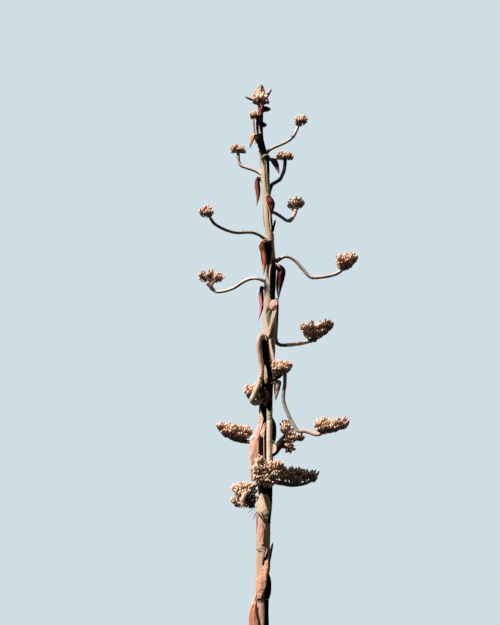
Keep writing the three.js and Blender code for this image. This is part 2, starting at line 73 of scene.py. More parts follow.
# Side branches. Routes are those of the solids, while radii, keels and rows are theirs or close to them.
# Places in a head are from the branch's tip.
#   foot, bearing, radius, route  where it leaves the stalk, how thick it is, and its bends as (out, up)
#   bark, buds                    the colours of the limb and of its buds
#   sleeve                        a loose sheath round the limb: start, end, bark and extra radius
#   keel                          how the limb runs on inside the head, as (across, up)
#   rows, more                    rows of clusters: across and up at both ends, how many, and their radius
#   spread                        how far the clusters stand to each side of the keel
#   single, behind, recede        one side only; all behind the keel, this far; how fast the head goes back
#   fill                          how far down a cluster its buds reach, as a share of its depth
#   fore                          clusters in front of the keel: across, back, up and radius
#   hollow                        painted shade: near-black buds where the head lies in shade, given as the fore ones are
#   dark_from                     how far across from the tip a head's clusters start to be painted dark, as painted shade
#   knobs                         round pale buds: across, back, up and size
BRANCHES = [
    dict(name="right_1", foot=4506, bearing=10, radius=9.3, bark="pale", buds="peach", fill=0.55,
         spread=16,
         route=[(56, 48), (110, 75), (164, 106), (201, 144), (232, 208)],
         rows=[(4, 48, 37, 55, 2, 24), (17, 67, 17, 67, 1, 22)]),
    dict(name="left_1", foot=4361, bearing=170, radius=10.5, bark="pale", buds="peach", fill=0.55,
         spread=20,
         route=[(51, 31), (84, 48), (131, 67), (164, 84), (178, 114), (182, 166)],
         rows=[(-27, 31, 24, 31, 2, 23), (-1, 43, -1, 43, 1, 23)]),
    dict(name="right_2", foot=4225, bearing=60, radius=12, bark="night", buds="peach", fill=0.5,
         spread=22,
         route=[(47, 54), (75, 96), (136, 134), (191, 170), (219, 206), (248, 256), (263, 324)],
         rows=[(-34, 29, 26, 29, 2, 25), (-7, 39, -7, 39, 1, 25)]),
    dict(name="right_3", foot=4130, bearing=56, radius=10.5, bark="dusk", buds="peach", fill=0.3,
         spread=24, sleeve=(0.68, 0.985, "pink", 3.0),
         route=[(114, 1), (186, -8), (248, -14), (291, 7), (323, 43), (349, 81)],
         rows=[(-2, 60, 30, 62, 2, 26), (8, 34, 8, 34, 1, 17)],
         shade_tufts=[(-42, 8, 58, 17)],
         knobs=[(-2, -14, -4, 13)]),
    dict(name="left_2", foot=3914, bearing=206, radius=9.5, bark="olive", buds="peach", fill=0.5,
         spread=18,
         route=[(49, 23), (85, 40), (128, 48), (178, 42), (235, 33), (291, 37), (347, 51), (396, 74),
                (424, 107)],
         rows=[(-43, 44, -7, 47, 2, 24), (-23, 65, -23, 65, 1, 22)]),
    dict(name="right_4", foot=3761, bearing=0, radius=11, bark="pale", buds="peach", fill=0.4, spread=34,
         route=[(49, 36), (98, 56), (146, 36), (203, -27), (254, -80), (325, -80), (415, -60),
                (448, -40)],
         rows=[(-2, 80, 78, 87, 3, 27), (9, 42, 9, 42, 1, 21), (38, 70, 38, 70, 1, 20)],
         fore=[(2, -40, 56, 19), (36, -42, 60, 19)]),
    dict(name="left_3", foot=3635, bearing=158, radius=10.5, bark="pale", buds="peach", fill=0.2,
         spread=34, single=True, sleeve=(0.93, 0.99, "pink", 2.5),
         route=[(44, 27), (110, 48), (169, 39), (253, -3), (320, -18), (380, -15), (422, 22)],
         rows=[(-44, 72, 7, 79, 2, 26), (62, 75, 62, 75, 1, 26), (5, 84, 32, 66, 2, 20)],
         knobs=[(-8, -30, 18, 18), (6, -28, 6, 17)]),
    dict(name="right_5", foot=3510, bearing=47, radius=11.5, bark="pale", buds="mixed", fill=0.5,
         spread=42, sleeve=(0.64, 0.985, "ivory", 0.9),
         route=[(64, 14), (71, -15), (68, -101), (60, -220), (72, -251), (110, -258), (296, -221),
                (387, -194)],
         rows=[(-28, 98, 15, 103, 2, 27), (72, 104, 132, 118, 3, 27), (34, 64, 34, 64, 1, 21)],
         keel=[(60, 30), (118, 88)],
         shade_tufts=[(52, 20, 50, 20), (84, 20, 70, 22), (110, 20, 88, 22)]),
    dict(name="left_4", foot=3275, bearing=225, radius=16, bark="pink", buds="rust", fill=0.22, spread=24,
         single=True, behind=14, dark_from=4, sleeve=(0.84, 0.98, "olive", 0.9),
         route=[(76, 4), (94, -40), (84, -108), (70, -170), (67, -215), (92, -300), (143, -386),
                (152, -412), (126, -426), (92, -416)],
         rows=[(-68, 92, -31, 97, 2, 26), (13, 82, 42, 68, 2, 26), (-12, 46, 28, 26, 2, 21)],
         fore=[(-66, 0, 66, 20), (-40, 2, 72, 19)],
         shade_tufts=[(-60, 10, 48, 18)]),
    dict(name="front_1", foot=3012, bearing=315, radius=12, bark="night", buds="peach", fill=0.6,
         spread=34,
         route=[(60, 0), (105, 6), (126, 18)],
         rows=[(-26, 56, 42, 60, 3, 27), (-4, 26, 24, 32, 2, 17)],
         more=[(-8, 16, 10, 18, 1, 20)],
         fore=[(-18, -56, 34, 22), (8, -60, 36, 24), (34, -50, 42, 20)],
         shade_tufts=[(-30, 6, 14, 22)]),
    dict(name="right_6", foot=3100, bearing=345, radius=11.5, bark="grey", buds="peach", fill=0.85,
         spread=40, sleeve=(0.80, 0.99, "pink", 0.9),
         route=[(81, 9), (108, -25), (112, -110), (102, -222), (131, -312), (178, -401), (196, -421),
                (240, -423), (315, -447), (346, -439)],
         rows=[(-18, 55, 14, 76, 2, 26), (52, 58, 138, 70, 3, 29), (64, 36, 64, 36, 1, 20)],
         keel=[(50, 8), (110, 28), (142, 58)],
         fore=[(-14, -42, 36, 20), (20, -44, 42, 21), (56, -46, 38, 21), (94, -46, 44, 21),
               (130, -44, 50, 20)]),
    dict(name="left_5", foot=2592, bearing=150, radius=13, bark="umber", buds="peach", fill=0.55,
         spread=42,
         route=[(117, 33), (153, 38), (190, 47)],
         rows=[(-110, 92, 54, 60, 5, 29), (-28, 46, -28, 46, 1, 23)],
         keel=[(-50, 14), (-88, 48)],
         fore=[(-96, -44, 68, 20), (-64, -46, 63, 21), (-30, -48, 58, 21), (4, -46, 50, 21),
               (38, -44, 42, 20)]),
    dict(name="right_7", foot=2529, bearing=57, radius=19, bark="night", buds="cream", fill=0.7,
         spread=34, sleeve=(0.15, 0.92, "night", 6.0),
         route=[(103, 36), (163, 80), (224, 125), (273, 150)],
         rows=[(-10, 74, 22, 32, 2, 26), (28, -10, 76, -2, 2, 27)],
         fore=[(-22, -40, 56, 24), (-2, -58, -30, 26), (0, -62, -66, 27), (26, -56, -78, 20),
               (-26, -58, -62, 22), (6, -58, -90, 20)],
         shade_tufts=[(-26, 10, 92, 22), (-2, 14, 98, 20)]),
    dict(name="front_2", foot=2850, bearing=284, radius=16.5, bark="green", buds="cream", fill=0.9,
         spread=36, sleeve=(0.34, 0.97, "ivory", 0.9),
         route=[(66, 0), (84, -36), (84, -270), (84, -400), (100, -448), (125, -440)],
         rows=[(-68, 78, -68, 78, 1, 25), (-84, 30, 42, 47, 4, 30), (-78, -24, 16, -18, 3, 28),
               (-22, -68, -22, -68, 1, 23)],
         more=[(-82, 8, 30, 14, 4, 24), (-60, -46, 10, -44, 3, 20)]),
    dict(name="right_8", foot=2386, bearing=35, radius=15, bark="umber", buds="olive", fill=0.3,
         spread=42, recede=0.7,
         route=[(81, -14), (127, -18)],
         rows=[(12, 74, 206, 66, 5, 31), (100, 36, 100, 36, 1, 24)],
         keel=[(55, -8), (110, -3), (170, 15), (208, 42)]),
    dict(name="left_6", foot=2392, bearing=240, radius=15, bark="pink", buds="peach", fill=0.4, spread=22,
         single=True, behind=48,
         route=[(107, -46), (180, -84), (241, -118), (271, -150), (265, -174)],
         rows=[(-44, 102, 32, 110, 3, 25), (-12, 74, -12, 74, 1, 21), (-56, 24, -36, 5, 2, 22)],
         keel=[(-16, 22)],
         shade_tufts=[(40, 44, 82, 19), (66, 48, 92, 19), (40, 46, 50, 20), (48, 46, 24, 23), (68, 46, 30, 21),
                 (40, 44, -4, 19), (60, 44, -12, 19)]),
    dict(name="top", foot=4616, bearing=182, radius=8, bark="pink", buds="peach", spread=14,
         route=[(33, 33), (42, 88), (44, 136)],
         rows=[(-4, 35, 20, 35, 2, 21)]),
    dict(name="back_1", foot=2330, bearing=95, radius=14, bark="olive", buds="peach", spread=40,
         route=[(80, 4), (150, 24), (196, 62)],
         rows=[(-48, 60, 46, 62, 3, 27), (-18, 92, 20, 90, 2, 25)]),
    dict(name="back_2", foot=2850, bearing=100, radius=13, bark="olive", buds="cream", spread=38,
         route=[(80, 0), (150, 20), (196, 60)],
         rows=[(-38, 54, 36, 56, 2, 28), (2, 80, 2, 80, 1, 25)]),
    dict(name="back_3", foot=3040, bearing=65, radius=12, bark="cream", buds="peach", spread=36,
         route=[(90, 8), (170, 24), (212, 58)],
         rows=[(-30, 34, 30, 36, 2, 26), (4, 56, 4, 56, 1, 22)]),
]

# The first seed of each kind of piece. A head's is the same as in the solids.
HEAD_SEED = 100
LIMB_SEED = 40
SHEATH_SEED = 200
STUB_SEED = 230
SPEAR_SEED = 240
HANGING_SEED = 260
LEAF_WIDTH_SEED = 300
LEAF_SEED = 400
PLATE_SEED = 500
CROWN_SEED = 77

# Dry bracts that hang under the branches: foot height, bearing, width, how far they turn and twist, how
# much of the width is coloured before the rest is painted black as painted shade on the shaded side, look,
# route.
HANGING = [
    (4584, 226, 43, 0.2, 0.3, 0.80, "pink", [(40, 40), (70, 52), (89, 34), (98, -12), (104, -58)]),
    (4466, 325, 40, -0.7, -0.3, 1.0, "night",
     [(20, 14), (44, 13), (71, -3), (90, -36), (103, -73), (117, -113)]),
    (4330, 168, 42, 0.9, 0.4, 0.70, "russet",
     [(37, 24), (58, 30), (66, 6), (61, -40), (56, -95), (60, -172)]),
    (4218, 310, 58, -0.4, 0.5, 0.66, "plum", [(34, -1), (52, -32), (54, -87), (42, -164)]),
    (3884, 226, 46, 0.4, 0.2, 0.80, "red",
     [(39, 24), (71, 16), (76, -11), (62, -48), (58, -101), (58, -154), (62, -201)]),
    (3745, 336, 50, -1.2, -0.2, 0.60, "ash",
     [(38, 22), (62, 3), (71, -25), (64, -70), (54, -122), (50, -174), (50, -218)]),
    (3600, 165, 42, 0.9, 0.3, 0.72, "rosy",
     [(48, 25), (62, 22), (68, -10), (65, -67), (61, -107), (68, -152), (80, -205)]),
    (2986, 325, 40, -0.9, -0.3, 0.74, "straw",
     [(46, 8), (72, 18), (84, 4), (80, -24), (73, -64), (67, -114)]),
]

SPEAR_FOOT = 4902  # where the sheaths round the apex start

# The rosette's tiers: height of the leaves' roots, how steeply they rise, how many, length and width.
ROSETTE = [
    (36, 8, 9, 560, 150), (90, 28, 8, 540, 150), (152, 46, 8, 500, 135), (226, 60, 6, 440, 125),
    (312, 72, 5, 380, 105),
]
LEAF_THICKNESS = 30
LEAF_SEEDS_PER_TIER = 20

# Skins of the sheets and ridges on the stalk, by number. The black one is mostly painted shade.
CREAM, PINK, BLACK_AND_SHADE, OLIVE, MAROON, ORANGE, BRICK, TAN = range(8)

# Sheets on the stalk's front: skin, then rows of height, left and right edge, and how far each stands off.
# The black sheets are mostly painted shadow, laid where the stalk lies in shade.
PLATES = [
    (ORANGE, [(4894, -44, 18, 17, 2), (4920, -46, 24, 18, 4), (4950, -36, 22, 16, 6),
              (4976, -20, 16, 8, 4), (4997, -6, 6, 3, 3)]),
    (MAROON, [(4862, -12, 16, 4, 6), (4836, -18, 26, 5, 12), (4804, -12, 24, 3, 9),
              (4790, -4, 12, 1, 3)]),
    (BLACK_AND_SHADE, [(4784, -12, 16, 2, 2), (4756, -17, 18, 3, 3), (4728, -10, 18, 2, 2), (4640, 8, 21, 1, 2)]),
    (BLACK_AND_SHADE, [(4654, -20, 8, 4, 4), (4640, -25, 20, 4, 4), (4600, -24, 23, 4, 4), (4550, -23, 23, 4, 4),
             (4522, -20, 22, 3, 3), (4512, -8, 20, 2, 2)]),
    (BLACK_AND_SHADE, [(4768, -27, -14, 8, 1), (4700, -27, -14, 8, 1), (4645, -20, -12, 3, 1)]),
    (OLIVE, [(4466, -4, 5, 1, 1), (4400, -7, 4, 1, 1), (4330, -7, 2, 1, 1), (4262, 2, 6, 1, 1)]),
    (BLACK_AND_SHADE, [(3925, -28, 12, 1, 2), (3870, -29, 6, 1, 2), (3800, -27, -2, 1, 1), (3762, -26, -17, 0, 0)]),
    (BLACK_AND_SHADE, [(4500, 14, 40, 5, 14), (4480, 8, 36, 5, 10), (4450, 12, 30, 3, 5), (4380, 16, 28, 2, 3)]),
    (BLACK_AND_SHADE, [(4208, 5, 22, 3, 3), (4140, 6, 26, 3, 3), (4060, 12, 28, 3, 2), (3990, 21, 27, 2, 2)]),
    (BLACK_AND_SHADE, [(4062, 42, 50, 18, 24), (4050, 36, 50, 12, 24), (4024, 28, 42, 6, 14),
             (3985, 24, 32, 3, 5)]),
    (BLACK_AND_SHADE, [(3800, 6, 30, 2, 2), (3720, -5, 34, 3, 4), (3620, -3, 36, 3, 4), (3530, 6, 34, 2, 2)]),
    (PINK, [(3532, 15, 49, 12, 40), (3518, 8, 51, 10, 43), (3496, 0, 50, 8, 42), (3468, 0, 44, 4, 30)]),
    (BLACK_AND_SHADE, [(3542, 38, 50, 14, 20), (3526, 46, 57, 20, 24), (3500, 50, 57, 22, 24),
             (3440, 42, 48, 10, 14)]),
    (OLIVE, [(3474, -10, 4, 2, 2), (3440, -18, 13, 3, 3), (3392, -17, 13, 2, 2), (3370, -10, 4, 1, 1)]),
    (CREAM, [(3512, 28, 50, 12, 40), (3440, 16, 42, 7, 26), (3370, 2, 25, 5, 12), (3300, -18, 1, 4, 6),
             (3284, -14, -8, 3, 3)]),
    (OLIVE, [(3400, 24, 34, 2, 2), (3340, 14, 34, 2, 3), (3250, 12, 33, 2, 3), (3150, 26, 36, 2, 2)]),
    (BLACK_AND_SHADE, [(3284, -42, -6, 8, 2), (3256, -50, -4, 10, 2), (3225, -51, -2, 10, 2), (3170, -47, 4, 7, 3),
             (3110, -39, 16, 1, 3), (3040, -30, 32, 1, 3), (2990, 16, 34, 2, 2)]),
    (CREAM, [(3276, -3, 8, 5, 12), (3210, 5, 21, 5, 18), (3150, 20, 36, 6, 26), (3120, 28, 38, 5, 20)]),
    (CREAM, [(3108, -20, -15, 14, 14), (3066, -19, -3, 22, 23), (3024, -18, 5, 22, 24),
             (2990, -12, -2, 18, 18)]),
    (BLACK_AND_SHADE, [(3010, -28, 38, 2, 2), (2920, -38, 38, 3, 3), (2830, -34, 30, 3, 3), (2760, -10, 18, 2, 2)]),
    (BLACK_AND_SHADE, [(2770, -12, 4, 3, 3), (2700, -22, 4, 4, 3), (2620, -34, 4, 5, 3), (2540, -34, 4, 5, 3),
             (2480, -30, 4, 3, 2)]),
    (PINK, [(2748, -34, -15, 3, 4), (2724, -46, -20, 5, 5), (2667, -70, -33, 27, 7),
            (2629, -92, -38, 49, 9), (2535, -97, -40, 54, 10), (2470, -91, -46, 48, 12),
            (2400, -92, -62, 49, 22), (2372, -84, -72, 42, 30)]),
    (BLACK_AND_SHADE, [(2772, 36, 46, 3, 4), (2730, 33, 66, 4, 24), (2680, 33, 71, 5, 28), (2630, 34, 66, 5, 24),
             (2590, 37, 50, 3, 8)]),
    (CREAM, [(2606, 42, 54, 48, 62), (2588, 37, 72, 44, 80), (2560, 37, 66, 44, 76),
             (2544, 40, 48, 46, 58)]),
    (CREAM, [(2738, -6, 3, 4, 4), (2698, -27, 1, 5, 5), (2667, -33, -3, 5, 5), (2644, -18, -7, 4, 4)]),
    (BLACK_AND_SHADE, [(2378, -45, 46, 3, 3), (2330, -44, 46, 4, 4), (2290, -38, 46, 3, 4), (2262, -10, 44, 1, 3)]),
    (BLACK_AND_SHADE, [(2290, 22, 45, 3, 4), (2230, 20, 45, 3, 4), (2160, 14, 42, 2, 3), (2110, 16, 34, 1, 2)]),
    (TAN, [(2292, -28, 14, 4, 12), (2262, -40, 30, 6, 22), (2224, -42, 36, 8, 32), (2182, -47, 33, 9, 28),
           (2146, -24, 26, 7, 16), (2104, 10, 20, 4, 6)]),
    (ORANGE, [(2108, -26, -12, 0, 0), (2072, -31, 2, 0, 0), (2020, -28, 6, 0, 0), (1984, -14, -4, 0, 0)]),
    (CREAM, [(2296, -29, -18, 7, 8), (2240, -34, -16, 10, 12), (2180, -32, -12, 11, 12),
             (2160, -24, -16, 9, 9)]),
    (ORANGE, [(1892, 15, 29, 4, 14), (1859, 3, 31, 4, 22), (1829, -12, 30, 4, 24), (1799, -22, 28, 4, 24),
              (1769, -39, 26, 5, 22), (1739, -42, 23, 5, 20), (1709, -41, 14, 5, 12),
              (1679, -39, 4, 4, 6), (1655, -36, -8, 3, 3)]),
    (BLACK_AND_SHADE, [(1954, 14, 24, 3, 4), (1915, 5, 26, 6, 6), (1886, -1, 18, 6, 6), (1858, -6, 4, 5, 5)]),
    (BLACK_AND_SHADE, [(1802, 35, 42, 4, 7), (1760, 24, 53, 6, 14), (1690, 14, 53, 6, 14), (1656, 10, 44, 3, 6)]),
    (PINK, [(1697, -40, -32, 6, 4), (1661, -51, -36, 14, 6), (1625, -66, -44, 24, 12),
            (1560, -79, -66, 37, 28), (1480, -80, -68, 37, 29), (1400, -66, -58, 26, 20)]),
    (BRICK, [(1625, -58, -38, 22, 13), (1577, -74, -34, 37, 13), (1500, -77, -18, 42, 11),
             (1440, -75, -6, 40, 9), (1396, -60, 4, 24, 4), (1376, -46, -20, 8, 3)]),
    (BLACK_AND_SHADE, [(1650, 16, 40, 2, 2), (1520, 18, 42, 3, 3), (1400, 20, 42, 2, 2)]),
]

# Raised lines on the stalk's front: skin, radius, then stops of height, place across and how far off.
# The black ridges are partly dark lines of the skin and partly painted shade.
RIDGES = [
    (BLACK_AND_SHADE, 2.4, [(4998, 3, 5), (4980, 1, 12), (4955, -4, 15)]),
    (PINK, 3.4, [(4910, -44, 19), (4950, -35, 17), (4990, -9, 5)]),
    (PINK, 4.4, [(3892, -69, 62), (3918, -54, 53), (3927, -30, 37), (3914, -6, 15)]),
    (PINK, 5.0, [(3774, 27, 6), (3766, 38, 26), (3752, 50, 40), (3738, 58, 44)]),
    (BLACK_AND_SHADE, 2.4, [(3590, -10, 1), (3570, 3, 1), (3552, 8, 1)]),
    (CREAM, 5.5, [(4468, -24, 3), (4490, -9, 6), (4505, 9, 8), (4503, 26, 10), (4497, 40, 14)]),
    (CREAM, 2.4, [(4470, 10, 1), (4360, 9, 1), (4250, 8, 1)]),
    (CREAM, 4.2, [(4216, 0, 4), (4236, 14, 8), (4224, 28, 6)]),
    (CREAM, 5.5, [(4206, -6, 10), (4160, 4, 12), (4117, 14, 9), (4062, 14, 6), (3990, 15, 3)]),
    (BLACK_AND_SHADE, 2.6, [(4140, 3, 1), (4070, 4, 1), (3985, 8, 1)]),
    (TAN, 2.4, [(3612, -30, 1), (3580, -16, 1), (3552, 1, 1)]),
    (BLACK_AND_SHADE, 6.0, [(3936, -38, 10), (3921, -22, 8), (3896, -4, 8), (3860, 12, 5)]),
    (CREAM, 2.8, [(3296, -28, 14), (3276, -18, 14), (3262, -14, 12)]),
    (BLACK_AND_SHADE, 2.8, [(3436, -24, 3), (3462, -17, 5), (3484, -8, 7), (3466, 6, 6), (3440, 16, 6)]),
    (BLACK_AND_SHADE, 2.6, [(3500, 51, 17), (3440, 41, 8), (3370, 25, 6), (3298, 2, 5)]),
    (PINK, 3.2, [(2632, 42, 7), (2606, 62, 21)]),
    (CREAM, 3.0, [(2660, -8, 8), (2560, -7, 8), (2480, -6, 7)]),
    (BLACK_AND_SHADE, 17.0, [(2934, 12, 20), (2870, 20, 42), (2800, 21, 46)]),
    (BLACK_AND_SHADE, 13.0, [(2904, 2, 34), (2872, 6, 50), (2846, 8, 56), (2830, 9, 52)]),
    (BLACK_AND_SHADE, 4.6, [(2178, -40, 9), (2140, -12, 14), (2096, 22, 12)]),
    (BLACK_AND_SHADE, 4.0, [(2190, -22, 12), (2156, -8, 16), (2116, 16, 14)]),
    (BLACK_AND_SHADE, 2.2, [(1953, -41, 1), (1947, -28, 2), (1952, -15, 1)]),
    (CREAM, 3.4, [(1960, 25, 12), (1932, 18, 14), (1904, 9, 12)]),
    (CREAM, 3.2, [(1926, 38, 14), (1904, 34, 14), (1886, 28, 12)]),
    (BLACK_AND_SHADE, 3.4, [(1896, 38, 5), (1950, 50, 12), (1996, 58, 20)]),
    (BLACK_AND_SHADE, 3.2, [(1640, -26, 1), (1662, 0, 3), (1654, 18, 3)]),
    (TAN, 2.6, [(1632, -46, 14), (1577, -44, 14), (1500, -18, 10)]),
    (OLIVE, 2.0, [(2064, -7, 4), (2024, -4, 4), (1984, 2, 3)]),
    (PINK, 3.0, [(4858, -14, 9), (4846, 3, 13), (4832, 8, 13), (4827, -6, 10)]),
    (TAN, 1.8, [(2206, -44, 6), (2180, -68, 28), (2150, -96, 56)]),
    (BLACK_AND_SHADE, 1.7, [(2214, -46, 6), (2196, -76, 36), (2178, -104, 64)]),
    (TAN, 1.6, [(2196, -44, 6), (2160, -62, 22), (2122, -78, 38)]),
    (BLACK_AND_SHADE, 1.8, [(2190, -42, 5), (2166, -56, 16), (2136, -62, 22)]),
]

# Which way each set of sheets and ridges faces, how far it is raised, and whether it is pressed to the skin.
# The back isn't in view, so it takes the front's set over again.
FRONT, BACK = (270, 0, False), (90, 47, True)
TIP_SHEETS = 4900  # what reaches above this is at the stalk's tip, and isn't raised

# The heights of thin scars all round the stalk, and the groove that runs down its front.
SCARS = (4337, 3300, 1950, 1661, 1190, 905)
GROOVE = dict(bearing=286, low=4230, high=4490, depth=6.0, half_angle=0.22, fade=40)

CROWN_HEIGHT = 4862
# The young round buds at the crown's front: place, size and tint.
CROWN_KNOBS = [(-13, -60, 4886, 14, "cream"), (15, -62, 4889, 17, "tip"), (45, -48, 4893, 12, "tip"),
               (-34, -46, 4878, 11, "apricot")]


def bump(gap, width):
    """A smooth bump, 1 where the gap is nothing."""
    return np.exp(-((gap / width) ** 2))


def unit(vectors):
    return vectors / np.linalg.norm(vectors, axis=-1, keepdims=True)


def seeded(seed):
    """The repeatable numbers that place the clusters, as in the solids."""
    state = seed
    while True:
        state = (state * 1664525 + 1013904223) % 4294967296
        yield state / 4294967296


def catmull(points, per_span=24):
    """A smooth centripetal curve through the points, finely sampled."""
    p = np.asarray(points, float)
    p = np.vstack([2 * p[0] - p[1], p, 2 * p[-1] - p[-2]])
    t = np.linspace(0, 1, per_span, endpoint=False)[:, None]
    spans = []
    for a, b, c, d in zip(p, p[1:], p[2:], p[3:]):
        d0, d1, d2 = (np.linalg.norm(y - x) ** 0.5 for x, y in ((a, b), (b, c), (c, d)))
        m1 = ((b - a) / d0 - (c - a) / (d0 + d1) + (c - b) / d1) * d1
        m2 = ((c - b) / d1 - (d - b) / (d1 + d2) + (d - c) / d2) * d1
        spans.append(b + m1 * t + (3 * (c - b) - 2 * m1 - m2) * t**2 + (2 * (b - c) + m1 + m2) * t**3)
    return np.vstack([*spans, p[-2:-1]])


def even(curve, count):
    """The curve's places at even steps, its direction at each and how far along it each is."""
    run = np.concatenate([[0], np.cumsum(np.linalg.norm(np.diff(curve, axis=0), axis=1))])
    at = np.linspace(0, run[-1], count)
    places = np.stack([np.interp(at, run, curve[:, k]) for k in range(3)], 1)
    return places, unit(np.gradient(places, axis=0)), at


def ripple(seed, rows, columns, around, along):
    """Smooth random heights from -1 to 1 over a surface that closes on itself once round."""
    grid = np.random.default_rng(seed).uniform(-1, 1, (rows + 2, columns))
    y, x = along * rows, around * columns
    row, column = np.floor(y).astype(int).clip(0, rows), np.floor(x).astype(int)
    fy, fx = (f * f * (3 - 2 * f) for f in (y - row, x - column))
    left, right = column % columns, (column + 1) % columns
    low = grid[row, left] * (1 - fx) + grid[row, right] * fx
    high = grid[row + 1, left] * (1 - fx) + grid[row + 1, right] * fx
    return low * (1 - fy) + high * fy


def turned(bearing):
    """The directions out along a bearing and across it."""
    a = math.radians(bearing)
    return np.array([math.cos(a), math.sin(a), 0.0]), np.array([-math.sin(a), math.cos(a), 0.0])


def beside(ways):
    """Two directions square to each way and to each other."""
    ways = np.atleast_2d(ways)
    helper = np.where(np.abs(ways[:, 2:]) > 0.9, [[1.0, 0.0, 0.0]], [[0.0, 0.0, 1.0]])
    first = unit(np.cross(helper, ways))
    return first, np.cross(ways, first)


def square_to(way, angle):
    """The direction square to a way, at an angle round it."""
    first, second = (v[0] for v in beside(way))
    return first * math.cos(angle) + second * math.sin(angle)


stalk_bends = np.array(STALK, float)


def stalk_x(z):
    return np.interp(z, stalk_bends[:, 0], stalk_bends[:, 1])


def stalk_radius(z):
    return np.interp(z, stalk_bends[:, 0], stalk_bends[:, 2])


def place_from(foot, bearing, out, up):
    """A place out from the stalk's middle and up from a foot."""
    way, _ = turned(bearing)
    return np.array([stalk_x(foot), 0, foot]) + way * out + UP * up


def route_from(foot, bearing, route, start=0.0):
    """The smooth curve of a route given as (out, up), from a start inside the stalk."""
    return catmull([place_from(foot, bearing, out, up) for out, up in [(start, 0), *route]])


class Shell:
    """Corners and faces gathered for one piece. Each face has the number of its material."""

    def __init__(self):
        self.places, self.faces, self.kinds, self.total = [], [], [], 0

    def add(self, places, faces, kinds):
        """Corners, and groups of faces between them, each with a number of material for every face."""
        places = np.asarray(places, float).reshape(-1, 3)
        for group, kind in zip(faces, kinds):
            self.faces.append(np.asarray(group) + self.total)
            self.kinds.append(np.broadcast_to(kind, len(group)))
        self.places.append(places)
        self.total += len(places)

    def loft(self, rings, kind=0):
        """A skin over closed rings of corners, closed at both ends, with its faces pointing out."""
        count, sides, _ = rings.shape
        middles = rings.mean(1)
        spokes = rings - middles[:, None]
        areas = np.cross(spokes, np.roll(spokes, -1, 1)).sum(1)
        if (areas[:-1] * np.diff(middles, axis=0)).sum() < 0:
            rings = rings[:, ::-1]
            kind = kind if np.ndim(kind) == 0 else np.roll(kind[::-1], -1)
        first = np.arange(count - 1)[:, None] * sides + np.arange(sides)
        other = np.arange(count - 1)[:, None] * sides + (np.arange(sides) + 1) % sides
        walls = np.stack([first, other, other + sides, first + sides], -1).reshape(-1, 4)
        around = np.broadcast_to(kind, sides)
        wall_kinds = np.tile(around, count - 1)
        low, high = count * sides, count * sides + 1
        i = np.arange(sides)
        j = (i + 1) % sides
        foot = np.stack([j, i, np.full(sides, low)], 1)
        tip = np.stack([i, j, np.full(sides, high)], 1)
        tip[:, :2] += (count - 1) * sides
        corners = np.vstack([rings.reshape(-1, 3), middles[:1], middles[-1:]])
        self.add(corners, [walls, foot, tip], [wall_kinds, around, around])

    def piece(self, name, materials, slot, nodes=()):
        """Makes the piece, which rides with the plant and stands for the nodes."""
        places = np.vstack(self.places) * MM
        corners = np.concatenate([group.ravel() for group in self.faces])
        widths = np.concatenate([np.full(len(group), group.shape[1]) for group in self.faces])
        mesh = bpy.data.meshes.new(name)
        mesh.vertices.add(len(places))
        mesh.vertices.foreach_set("co", places.ravel())
        mesh.loops.add(len(corners))
        mesh.loops.foreach_set("vertex_index", corners.astype(np.int32))
        mesh.polygons.add(len(widths))
        mesh.polygons.foreach_set("loop_start", (np.cumsum(widths) - widths).astype(np.int32))
        mesh.polygons.foreach_set("material_index", np.concatenate(self.kinds).astype(np.int32))
        mesh.polygons.foreach_set("use_smooth", np.ones(len(widths), bool))
        for material in materials:
            mesh.materials.append(material)
        mesh.update(calc_edges=True)
        mesh.validate()
        made = bpy.data.objects.new(name, mesh)
        bpy.context.scene.collection.objects.link(made)
        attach(made, "root")
        if nodes:
            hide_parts(*nodes)


def add_node(tree, kind, inputs=(), **settings):
    """A shader node with its settings, and its inputs as values or as links from other nodes."""
    made = tree.nodes.new(kind)
    for key, value in settings.items():
        setattr(made, key, value)
    for key, value in dict(inputs).items():
        if isinstance(value, bpy.types.NodeSocket):
            tree.links.new(value, made.inputs[key])
        else:
            made.inputs[key].default_value = value
    return made


def opaque(colour):
    return (*colour, 1.0)


def plain(name, colour, roughness=0.6):
    """One even colour, for small parts."""
    material = bpy.data.materials.new(name)
    material.use_nodes = True
    shader = material.node_tree.nodes["Principled BSDF"]
    shader.inputs["Base Color"].default_value = opaque(colour)
    shader.inputs["Roughness"].default_value = roughness
    return material


def mixed(tree, factor, first, second):
    """A blend of two colours, each given as a value or as another node's output."""
    return add_node(tree, "ShaderNodeMix", {0: factor, 6: first, 7: second}, data_type="RGBA").outputs[2]


def ramp(tree, value, low, high):
    """A share from 0 to 1 as a value goes from low to high."""
    return add_node(tree, "ShaderNodeMapRange",
                    {"Value": value, "From Min": low, "From Max": high}).outputs[0]


def noise(tree, place, scale, low, high, detail=4.0):
    """A share from 0 to 1 that follows smooth noise, stretched by the scale on each axis."""
    at = add_node(tree, "ShaderNodeMapping", {"Vector": place, "Scale": scale}).outputs[0]
    raw = add_node(tree, "ShaderNodeTexNoise",
                   {"Vector": at, "Scale": 1.0, "Detail": detail, "Roughness": 0.6})
    return ramp(tree, raw.outputs[0], low, high)


def skin_material(name, roughness):
    """A material with its tree and shader, and the node that gives places on the piece."""
    material = bpy.data.materials.new(name)
    material.use_nodes = True
    tree = material.node_tree
    shader = tree.nodes["Principled BSDF"]
    shader.inputs["Roughness"].default_value = roughness
    return material, tree, shader, add_node(tree, "ShaderNodeTexCoord")


def add_relief(tree, shader, place, scale, strength):
    """A fine bump."""
    grit = noise(tree, place, scale, 0.2, 0.8)
    rough = {"Strength": strength, "Distance": 0.002, "Height": grit}
    tree.links.new(add_node(tree, "ShaderNodeBump", rough).outputs[0], shader.inputs["Normal"])


LIT_SIDE = (-0.45, 0, 0.89)  # up and to the left, towards the key light; painted shade darkens a limb on the side away from it
LOWER_TINT = (3.25, 2.45)  # metres: where the tint of the lower stalk starts and where it is full


